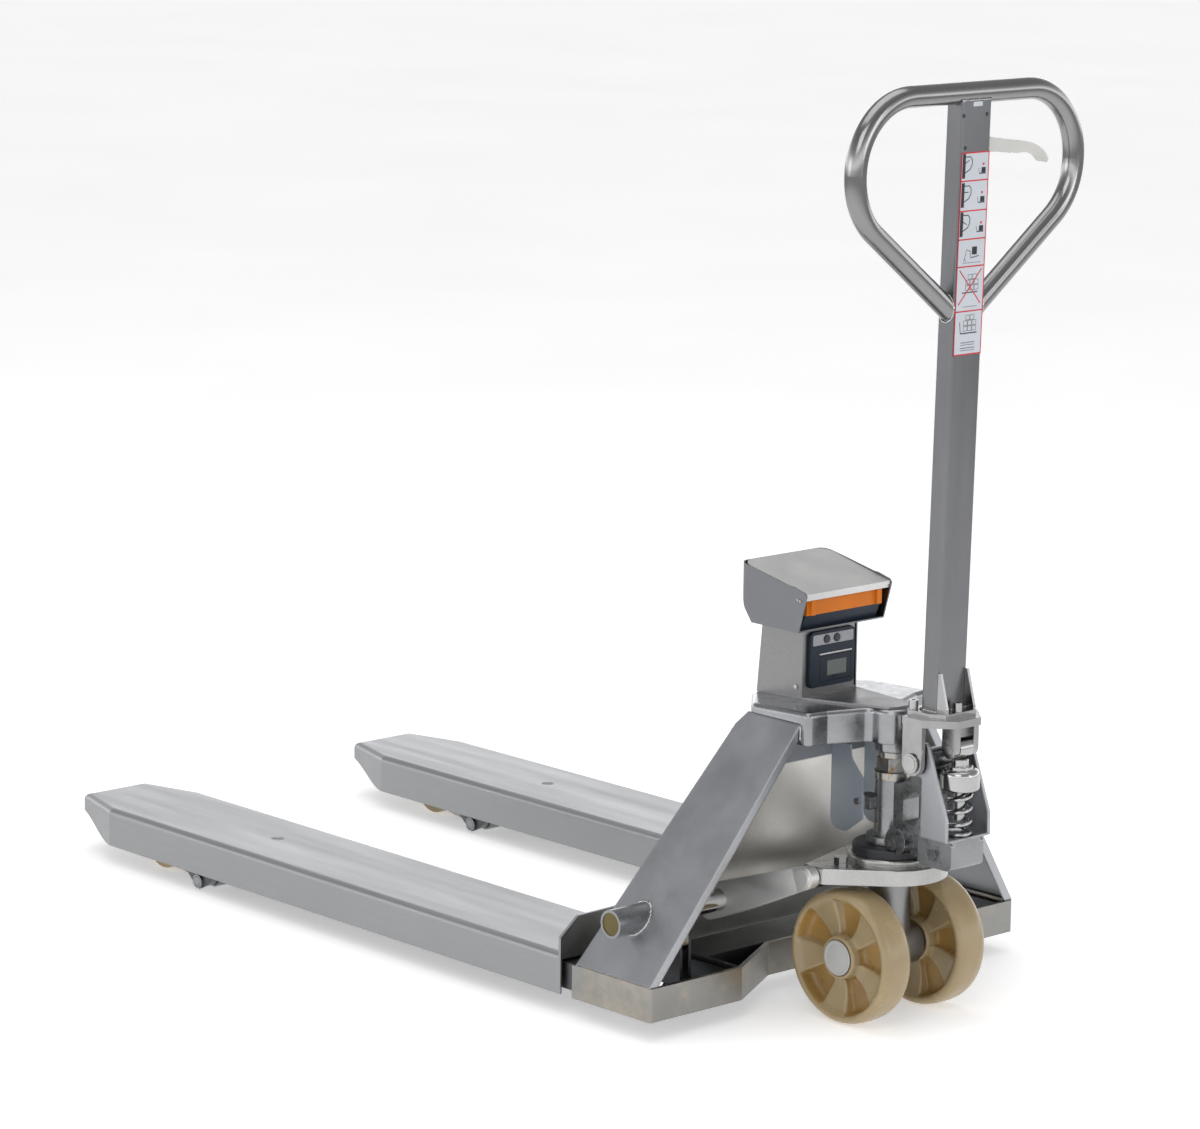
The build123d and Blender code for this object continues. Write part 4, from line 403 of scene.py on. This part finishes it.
# ------------------------------------------------------------------ camera
CAM_AT = Vector((STEER - 3.9998, 4.1779, 1.7327))
cam_data = bpy.data.cameras.new("camera")
cam_data.sensor_width = 36.0
cam_data.lens = 135.92
cam = bpy.data.objects.new("camera", cam_data)
bpy.context.scene.collection.objects.link(cam)
az, el, roll = math.radians(-42.414), math.radians(11.135), math.radians(-0.75)
level = Vector((math.cos(az), math.sin(az), 0))
fwd = Vector((level.x * math.cos(el), level.y * math.cos(el), -math.sin(el)))
right = fwd.cross(Vector((0, 0, 1))).normalized()
down = fwd.cross(right)
cr, sr = math.cos(roll), math.sin(roll)
right, down = right * cr + down * sr, down * cr - right * sr
cam.matrix_world = Matrix((
    (right.x, -down.x, -fwd.x, CAM_AT.x),
    (right.y, -down.y, -fwd.y, CAM_AT.y),
    (right.z, -down.z, -fwd.z, CAM_AT.z),
    (0, 0, 0, 1),
))
cam_data.clip_end = 200
bpy.context.scene.camera = cam

# ------------------------------------------------------------------ studio
world = bpy.data.worlds.new("studio")
bpy.context.scene.world = world
world.use_nodes = True
wn = world.node_tree
bg = wn.nodes["Background"]
wtc = wn.nodes.new("ShaderNodeTexCoord")
wsep = wn.nodes.new("ShaderNodeSeparateXYZ")
wramp = wn.nodes.new("ShaderNodeValToRGB")
# brightness from straight down (0) over the horizon (0.5) to straight up (1)
GROUND_GLOW, ZENITH_GLOW = 0.80, 0.60
SKY = ((0.50, 2.1), (0.57, 1.95), (0.61, 1.25), (0.66, 0.66), (0.72, 0.48), (0.80, 0.36), (0.90, 0.40))
els = wramp.color_ramp.elements
els[0].position = 0.0
els[0].color = (GROUND_GLOW, GROUND_GLOW, GROUND_GLOW, 1)
els[1].position = 1.0
els[1].color = (ZENITH_GLOW, ZENITH_GLOW, ZENITH_GLOW, 1)
for pos, v in SKY:
    e = els.new(pos)
    e.color = (v, v, v * 1.02, 1)
wmap = wn.nodes.new("ShaderNodeMapRange")
wmap.inputs["From Min"].default_value = -1
wmap.inputs["From Max"].default_value = 1
wn.links.new(wtc.outputs["Generated"], wsep.inputs[0])
wn.links.new(wsep.outputs["Z"], wmap.inputs["Value"])
wn.links.new(wmap.outputs["Result"], wramp.inputs["Fac"])
wn.links.new(wramp.outputs["Color"], bg.inputs["Color"])
bg.inputs["Strength"].default_value = 1.0


def softbox(name, at, target, size_x, size_y, power):
    """Rectangular light aimed at a point."""
    d = bpy.data.lights.new(name, "AREA")
    d.shape = "RECTANGLE"
    d.size = size_x
    d.size_y = size_y
    d.energy = power
    o = bpy.data.objects.new(name, d)
    bpy.context.scene.collection.objects.link(o)
    o.location = at
    o.rotation_euler = (Vector(target) - Vector(at)).to_track_quat("-Z", "Y").to_euler()


softbox("key", (-2.6, 3.2, 3.6), (0, 0, 0.3), 2.6, 2.2, 34)
softbox("top", (0.2, 0.0, 4.6), (0, 0, 0), 4.5, 3.5, 60)
softbox("side", (1.2, 4.2, 1.6), (0.1, 0.2, 0.3), 2.6, 1.2, 12)
softbox("rear", (-4.6, -1.2, 1.9), (-0.6, 0, 0.5), 1.0, 2.2, 12)

bm = bmesh.new()
bmesh.ops.create_grid(bm, x_segments=8, y_segments=8, size=45)
floor_mesh = bpy.data.meshes.new("floor")
bm.to_mesh(floor_mesh)
bm.free()
floor = bpy.data.objects.new("floor", floor_mesh)
bpy.context.scene.collection.objects.link(floor)
floor.location.z = -0.0006
fm, fnt, fp = new_material("pale_floor")


def floor_math(kind, a, b):
    """One arithmetic step in the floor's material, between sockets or plain numbers."""
    n = fnt.nodes.new("ShaderNodeMath")
    n.operation = kind
    for socket, value in zip(n.inputs, (a, b)):
        if isinstance(value, (int, float)):
            socket.default_value = value
        else:
            fnt.links.new(value, socket)
    return n.outputs[0]


# White around the truck and in a wedge behind it, greyer far out to the sides and behind the viewer.
# Distances are in metres, measured along and across the camera's heading.
WHITE_TO, GREY_FROM = 2.0, 5.5
WEDGE_WIDEN = 0.16
FLOOR_GREY = (0.42, 0.42, 0.43)
ftc = fnt.nodes.new("ShaderNodeTexCoord")
fsep = fnt.nodes.new("ShaderNodeSeparateXYZ")
fnt.links.new(ftc.outputs["Object"], fsep.inputs[0])
px, py = fsep.outputs["X"], fsep.outputs["Y"]
ux, uy = math.cos(az), math.sin(az)
along = floor_math("ADD", floor_math("MULTIPLY", px, ux), floor_math("MULTIPLY", py, uy))
aside = floor_math("SUBTRACT", floor_math("MULTIPLY", py, ux), floor_math("MULTIPLY", px, uy))
squares = floor_math("ADD", floor_math("MULTIPLY", along, along), floor_math("MULTIPLY", aside, aside))
near = spread(fnt, floor_math("SQRT", squares, 0), 1.0, 0.0, WHITE_TO, GREY_FROM)
widening = floor_math("MULTIPLY", along, WEDGE_WIDEN)
wedge = floor_math("SUBTRACT", floor_math("ABSOLUTE", aside, 0), widening)
ahead = spread(fnt, along, 0.0, 1.0, -1.5, 0.5)
sweep = floor_math("MULTIPLY", spread(fnt, wedge, 1.0, 0.0, 1.1, 2.6), ahead)
lit = floor_math("MAXIMUM", near, sweep)
white = ramp(fnt, noise(fnt, EVEN, 1.2, 3), [(0.3, (0.92, 0.92, 0.92)), (0.7, (0.95, 0.95, 0.95))])
fcol = mix(fnt, lit, FLOOR_GREY, white)
fnt.links.new(fcol, fp.inputs["Base Color"])
fnt.links.new(fcol, fp.inputs["Emission Color"])
fp.inputs["Roughness"].default_value = 0.9
fp.inputs["Emission Strength"].default_value = 0.42
floor_mesh.materials.append(fm)

bpy.context.scene.view_settings.view_transform = "Standard"


# ------------------------------------------------------------------ steering wheels
def follow(table, r):
    """Height read off a short list of (radius, height) pairs."""
    for (r0, y0), (r1, y1) in zip(table, table[1:]):
        if r <= r1:
            return y0 + (y1 - y0) * (r - r0) / (r1 - r0)
    return table[-1][1]


# profiles in millimetres: radius, height above the wheel's middle plane
FACE_RADII = (24.2, 26, 27.5, 28.7, 30, 31.5, 33.5, 36, 40, 45, 50, 55, 60, 65, 69, 72, 74.2, 75.6, 76.6, 78)
RIM = [(79.4, 24.7), (82, 25), (84.6, 24.5), (87.4, 21), (89.2, 15.6), (89.9, 10), (90, 6), (90, 0.42)]
RIB_TOP = ((24, 24.8), (27.5, 24.8), (28.6, 22.5), (31, 14.5), (45, 13.2), (60, 15.6), (72, 19), (78, 23.2))
POCKET = ((24, 24.8), (27.5, 24.8), (28.8, 20), (31, 8), (35, 5.4), (70, 5.2), (74.5, 8), (76.5, 19),
          (78, 23.2))
# five ribs: direction of one, angle between them, half width and the part of it that slopes, in degrees
RIB_AT = math.radians(62.0)
RIB_PITCH = 72
RIB_HALF = 20.0
RIB_SLOPE = 4.5
WHEEL_STEPS = 200
FIRST_POCKET_RING = 4


def wheel(name, node, side, body):
    """Moulded wheel: dished face with five broad ribs between amber pockets, darker partly as painted recess
    shade, and a thin mould line.
    """
    lo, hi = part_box(node)
    c = (lo + hi) / 2
    bm = bmesh.new()
    grid = []
    for k in range(WHEEL_STEPS):
        a = 2 * math.pi * k / WHEEL_STEPS
        off = (math.degrees(a - RIB_AT) + RIB_PITCH / 2) % RIB_PITCH - RIB_PITCH / 2
        rib = min(1.0, max(0.0, (RIB_HALF - abs(off)) / RIB_SLOPE))
        rib = rib * rib * (3 - 2 * rib)
        line = []
        for r in FACE_RADII:
            low = follow(POCKET, r)
            line.append((r, low + (follow(RIB_TOP, r) - low) * rib))
        line += RIM
        line += [(r, -y) for r, y in reversed(line)]
        ring = []
        for r, y in line:
            ring.append(bm.verts.new((c.x + r * MM * math.cos(a), c.y + side * y * MM,
                                      c.z + r * MM * math.sin(a))))
        grid.append((ring, rib))
    count = len(grid[0][0])
    last = len(FACE_RADII) - 2
    for k in range(WHEEL_STEPS):
        here, rib = grid[k]
        there = grid[(k + 1) % WHEEL_STEPS][0]
        for j in range(count - 1):
            f = bm.faces.new((here[j], here[j + 1], there[j + 1], there[j]))
            f.smooth = True
            ring = min(j, count - 2 - j)
            if FIRST_POCKET_RING <= ring <= last and rib < 0.5:
                f.material_index = 1
            elif j == count // 2 - 1:
                f.material_index = 2
        bm.faces.new((here[-1], here[0], there[0], there[-1])).smooth = True
    ob = mesh_object(name, bm, [NYLON, AMBER_AND_SHADE, SEAM], body)
    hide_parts(node)


wheel("wheel_moulding_left", "steer_wheel_left", 1, "wheel_left")
wheel("wheel_moulding_right", "steer_wheel_right", -1, "wheel_right")


CAP_PROFILE = ((23.4, -4.4), (23.4, 0.25), (22.9, 0.75), (21.4, 0.8), (20.4, 0.25), (18, 0.3),
               (9, 0.7), (0.4, 0.8))
CAP_STEPS = 64


def hub_cap(name, node, side, body):
    """Pale cap with a raised rim over the outer end of the bearing."""
    lo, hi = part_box(node)
    c = (lo + hi) / 2
    face = hi.y if side > 0 else lo.y
    bm = bmesh.new()
    grid = []
    for k in range(CAP_STEPS):
        a = 2 * math.pi * k / CAP_STEPS
        ring = []
        for r, y in CAP_PROFILE:
            ring.append(bm.verts.new((c.x + r * MM * math.cos(a), face + side * y * MM,
                                      c.z + r * MM * math.sin(a))))
        grid.append(ring)
    for k in range(CAP_STEPS):
        here, there = grid[k], grid[(k + 1) % CAP_STEPS]
        for j in range(len(CAP_PROFILE) - 1):
            bm.faces.new((here[j], here[j + 1], there[j + 1], there[j])).smooth = True
    bm.faces.new([g[-1] for g in grid])
    bm.faces.new([g[0] for g in grid])
    mesh_object(name, bm, [CAP], body)


hub_cap("hub_cap_left", "wheel_hub_left", 1, "wheel_left")
hub_cap("hub_cap_right", "wheel_hub_right", -1, "wheel_right")

# ------------------------------------------------------------------ return spring
COIL_TURNS = 5.5
WIRE_R = 2.8
COIL_R = 15.4
COIL_STEPS = 260
END = 0.13                              # share of the wire in each closed end
END_RISE = 0.42                         # how fast a closed end climbs, beside an even coil

lo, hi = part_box("return_spring")
sc = (lo + hi) / 2
z0, z1 = lo.z * 1000 + WIRE_R, hi.z * 1000 - WIRE_R
path = []
for i in range(COIL_STEPS + 1):
    t = i / COIL_STEPS
    if t < END:
        rise = t * END_RISE
    elif t > 1 - END:
        rise = 1 - (1 - t) * END_RISE
    else:
        rise = END * END_RISE + (t - END) / (1 - 2 * END) * (1 - 2 * END * END_RISE)
    a = 2 * math.pi * COIL_TURNS * t
    path.append(Vector((sc.x + COIL_R * MM * math.cos(a), sc.y + COIL_R * MM * math.sin(a),
                        (z0 + (z1 - z0) * rise) * MM)))
bm = bmesh.new()
ring_tube(bm, path, [WIRE_R * MM] * len(path), 10)
spring = mesh_object("spring_coil", bm, [SPRING], "steering", smooth=True)
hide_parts("return_spring")
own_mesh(spring)

# ------------------------------------------------------------------ instruction label on the tube
LABEL_HALF = 25.5
CELL_EDGES = (722.3, 686.9, 648.9, 612.8, 578, 521, 464)    # up the tube, from the label's top to its bottom
GROUND_MAT, RED_MAT, INK_MAT, GREY_MAT = range(4)
GROUND_H, FRAME_H, BOX_H, INK_H = 0.25, 0.36, 0.40, 0.42    # how far each print stands off the tube
STACK_ROWS = ((0, 3), (1, 3), (2, 2))                       # row, boxes in it


def label():
    """Row of framed pictogram cells down the rear face of the tube."""
    bm = bmesh.new()
    top, bottom = CELL_EDGES[0], CELL_EDGES[-1]

    def patch(points, mat, h):
        prism(bm, [on_tube(x, y) for x, y in points], TUBE_OUT * (h * MM), mat)

    def quad(x0, y0, x1, y1, mat, h):
        patch(((x0, y0), (x1, y0), (x1, y1), (x0, y1)), mat, h)

    def stroke(x0, y0, x1, y1, w, mat, h=INK_H):
        d = Vector((x1 - x0, y1 - y0, 0))
        n = Vector((-d.y, d.x, 0)).normalized() * (w / 2)
        patch(((x0 - n.x, y0 - n.y), (x1 - n.x, y1 - n.y), (x1 + n.x, y1 + n.y), (x0 + n.x, y0 + n.y)),
              mat, h)

    def stacked_boxes(left, base):
        for row, n in STACK_ROWS:
            y = base + row * 7
            for i in range(n):
                x = left - i * 8 - (4 if n == 2 else 0)
                corners = ((x, y), (x - 7, y), (x - 7, y + 6), (x, y + 6), (x, y))
                for a, b in zip(corners, corners[1:]):
                    stroke(*a, *b, 0.7, GREY_MAT, BOX_H)

    quad(-LABEL_HALF, bottom, LABEL_HALF, top, GROUND_MAT, GROUND_H)
    for y in CELL_EDGES:
        inside = y - 0.8 if y > bottom else y + 0.8
        stroke(-LABEL_HALF, inside, LABEL_HALF, inside, 1.7, RED_MAT, FRAME_H)
    for x in (-LABEL_HALF + 0.8, LABEL_HALF - 0.8):
        stroke(x, bottom, x, top, 1.6, RED_MAT, FRAME_H)
    # three cells: the hand lever's position, and what the truck does (down arrow, square, up arrow)
    marks = (
        (28, ((-13, 3), (-18, 3), (-15.5, -0.5))),
        (0, ((-13, 4), (-16, 4), (-16, 1), (-13, 1))),
        (-30, ((-13, 0), (-18, 0), (-15.5, 3.5))),
    )
    for k, (angle, mark) in enumerate(marks):
        y = (CELL_EDGES[k] + CELL_EDGES[k + 1]) / 2
        # handle outline beside a thick tube line
        stroke(20.4, y - 15, 20.4, y + 16, 5.4, INK_MAT)
        loop = [(19, y + 12), (9, y + 12), (5.5, y + 8), (5.5, y + 2), (9, y - 4), (17.5, y - 8)]
        for a, b in zip(loop, loop[1:]):
            stroke(*a, *b, 1.2, INK_MAT)
        la = math.radians(angle)
        stroke(18, y + 4, 18 - 8 * math.cos(la), y + 4 + 8 * math.sin(la), 1.1, INK_MAT)
        # small truck with a box, and the mark above it
        stroke(-8, y - 10, -20, y - 10, 1.4, INK_MAT)
        quad(-19.5, y - 9, -12, y - 2.5, INK_MAT, INK_H)
        stroke(-8.5, y - 10, -6.5, y - 3, 0.8, GREY_MAT)
        patch([(mx, y + my) for mx, my in mark], RED_MAT, INK_H)
    # walking figure pushing a loaded truck: body, arm, legs, tiller and fork as (from, to, width)
    y = 596
    figure = (
        ((12, -8), (9, 3), 0.9),
        ((9, 3), (2, 0), 0.8),
        ((12, -8), (14, -12), 0.8),
        ((12, -8), (10, -13), 0.8),
        ((3, 2), (1, -8), 1.0),
        ((1, -8), (-14, -6), 1.6),
    )
    for (ax, ay), (bx, by), w in figure:
        stroke(ax, y + ay, bx, y + by, w, GREY_MAT)
    quad(-10, y - 4, -1, y + 6, INK_MAT, INK_H)
    stroke(15, 582.0, -17, 582.0, 0.7, GREY_MAT)
    # stacked load, crossed out in red
    y = 547
    stacked_boxes(8, y)
    stroke(14, y - 3, -14, y - 3, 1.4, INK_MAT)
    stroke(20, 573, -20, 529, 1.5, RED_MAT, 0.48)
    stroke(-20, 573, 20, 529, 1.5, RED_MAT, 0.50)
    stroke(12, 526, -14, 526, 0.7, GREY_MAT)
    # stacked load on a truck, allowed, over two pairs of lines
    y = 495
    stacked_boxes(9, y)
    stroke(14, y - 3, -16, y - 3, 1.4, INK_MAT)
    stroke(14, y - 3, 16, y + 12, 0.9, INK_MAT)
    for i in range(2):
        stroke(13, 480 - i * 7, -13, 480 - i * 7, 1.1, GREY_MAT)
        stroke(13, 477 - i * 7, -13, 477 - i * 7, 0.8, GREY_MAT)
    mesh_object("instruction_label", bm, [PALE, RED, INK, GREY_INK], "tiller")


label()

# rivets on the upper part of the tube: (across, up), then each head's (radius, height) profile
RIVETS = ((24, 768.5), (-18, 769), (19, 728))
RIVET_HEAD = ((2.6, -0.3), (2.6, 0.3), (2.0, 0.9), (1.0, 1.2))
RIVET_SIDES = 16
bm = bmesh.new()
for across, up in RIVETS:
    base = on_tube(across, up)
    rings = []
    for r, h in RIVET_HEAD:
        ring = []
        for k in range(RIVET_SIDES):
            a = 2 * math.pi * k / RIVET_SIDES
            spoke = Vector((0, 1, 0)) * math.cos(a) + TUBE_UP * math.sin(a)
            ring.append(bm.verts.new(base + spoke * (r * MM) + TUBE_OUT * (h * MM)))
        rings.append(ring)
    for a, b in zip(rings, rings[1:]):
        for k in range(RIVET_SIDES):
            bm.faces.new((a[k], a[(k + 1) % RIVET_SIDES], b[(k + 1) % RIVET_SIDES], b[k])).smooth = True
    bm.faces.new(rings[-1])
mesh_object("handle_rivets", bm, [KEY], "tiller")

# blank tag at the tube's head
bm = bmesh.new()
corners = [on_tube(-8.9, 779.7), on_tube(7.9, 779.7), on_tube(7.9, 785.6), on_tube(-8.9, 785.6)]
prism(bm, corners, TUBE_OUT * (0.4 * MM))
mesh_object("blank_tag", bm, [PALE], "tiller")

# ------------------------------------------------------------------ welds
# the strap's outer face leans in from its foot to its head
FOOT_Y, FOOT_Z = 0.3429, 0.0725
HEAD_Y, HEAD_Z = 0.113, 0.399
# boss on the strap: millimetres ahead of the steering axis, height, weld radius in millimetres
BOSS_X, BOSS_Z, BOSS_WELD_R = 169, 0.143, 20
# loop end on the tube's side: across, up, and the half axes of its slanted cut, in millimetres
LOOP_END, LOOP_UP, LOOP_CUT_UP, LOOP_CUT_OUT = 27.2, 524, 17.9, 13.4
for side in (1, -1):
    tag = "left" if side > 0 else "right"
    ring = []
    for k in range(44):
        a = 2 * math.pi * k / 44
        ring.append(on_tube(side * LOOP_END, LOOP_UP + LOOP_CUT_UP * math.sin(a),
                            -TUBE_HALF_D + LOOP_CUT_OUT * math.cos(a)))
    weld_bead(f"loop_weld_{tag}", ring, 1.7 * MM, "tiller", BRIGHT, closed=True)
    ring = []
    for k in range(56):
        a = 2 * math.pi * k / 56
        x = fx(BOSS_X) + BOSS_WELD_R * MM * math.cos(a)
        z = BOSS_Z + BOSS_WELD_R * MM * math.sin(a)
        y = FOOT_Y - (z - FOOT_Z) * (FOOT_Y - HEAD_Y) / (HEAD_Z - FOOT_Z)
        ring.append(Vector((x, side * (y + 0.0012), z)))
    weld_bead(f"boss_weld_{tag}", ring, 2.4 * MM, "chassis", BRIGHT, closed=True)
    # strap foot along the side plate
    y, z = side * 0.3418, 0.0728
    foot_line = line_points(Vector((fx(96), y, z)), Vector((fx(234), y, z)))
    weld_bead(f"strap_weld_{tag}", foot_line, 1.6 * MM, "chassis", BAR)
    # rear corner of the strap's head
    x, y = fx(56.5), side * 0.1158
    head_line = line_points(Vector((x, y, 0.374)), Vector((x, y, 0.394)))
    weld_bead(f"strap_head_weld_{tag}", head_line, 1.8 * MM, "chassis", BRIGHT)
# tube foot weld, round the rectangular tube
ring = []
corners = [(TUBE_HALF_W, -TUBE_HALF_D), (TUBE_HALF_W, TUBE_HALF_D), (-TUBE_HALF_W, TUBE_HALF_D),
           (-TUBE_HALF_W, -TUBE_HALF_D)]
for i in range(4):
    a, b = corners[i], corners[(i + 1) % 4]
    for step in range(14):
        t = step / 14
        ring.append(Vector((fx(TUBE_X) + (a[1] + (b[1] - a[1]) * t) * MM, (a[0] + (b[0] - a[0]) * t) * MM,
                            TUBE_FOOT_Z + 0.0005)))
weld_bead("tube_foot_weld", ring, 2.0 * MM, "tiller", FOOT, closed=True)
# top weld between the tube's head and the loop
head_line = line_points(on_tube(26, 787.2, -1.9), on_tube(-26, 787.2, -1.9))
weld_bead("tube_head_weld", head_line, 2.3 * MM, "tiller", BRIGHT)

# ------------------------------------------------------------------ printer and head details
# tear bar and four corner screws on the printer's face, each set in a little behind it
PRINTER_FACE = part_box("printer_body")[0].x
SET_IN = 0.6
TOOTH_PITCH = 2
TEETH = 29
bm = bmesh.new()


def face_quad(y0, z0, y1, z1, mat, h):
    """Raised rectangle on the printer's face, in millimetres."""
    x = PRINTER_FACE - 0.0002 + SET_IN * MM
    pts = [Vector((x, y * MM, z * MM)) for y, z in ((y0, z0), (y1, z0), (y1, z1), (y0, z1))]
    prism(bm, pts, Vector((-(h + SET_IN) * MM, 0, 0)), mat)


face_quad(-35, 465.4, 25, 467.2, 0, 0.8)
for i in range(TEETH):
    face_quad(-34.5 + i * TOOTH_PITCH, 464.7, -33.4 + i * TOOTH_PITCH, 465.5, 0, 0.6)
for y, z in ((35, 470), (-38, 470), (35, 428), (-38, 428)):
    face_quad(y - 1.2, z - 1.2, y + 1.2, z + 1.2, 1, 0.3)
mesh_object("printer_tear_bar", bm, [BRIGHT, KEY], "chassis")

# darker window and its rim in the paper door
dl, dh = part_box("printer_door")
cy, cz = (dl.y + dh.y) / 2 - 0.003, (dl.z + dh.z) / 2
RIM_PLATE = (0.0190, 0.0112, 0.0024, 1)
WINDOW_PLATE = (0.0178, 0.0100, 0.0028, 0)
bm = bmesh.new()
for half_y, half_z, behind, mat in (RIM_PLATE, WINDOW_PLATE):
    x = dh.x - behind
    corners = [Vector((x, cy - half_y, cz - half_z)), Vector((x, cy + half_y, cz - half_z)),
               Vector((x, cy + half_y, cz + half_z)), Vector((x, cy - half_y, cz + half_z))]
    prism(bm, corners, Vector((-0.0005, 0, 0)), mat)
mesh_object("door_window", bm, [GLASS, INK], "printer_door")
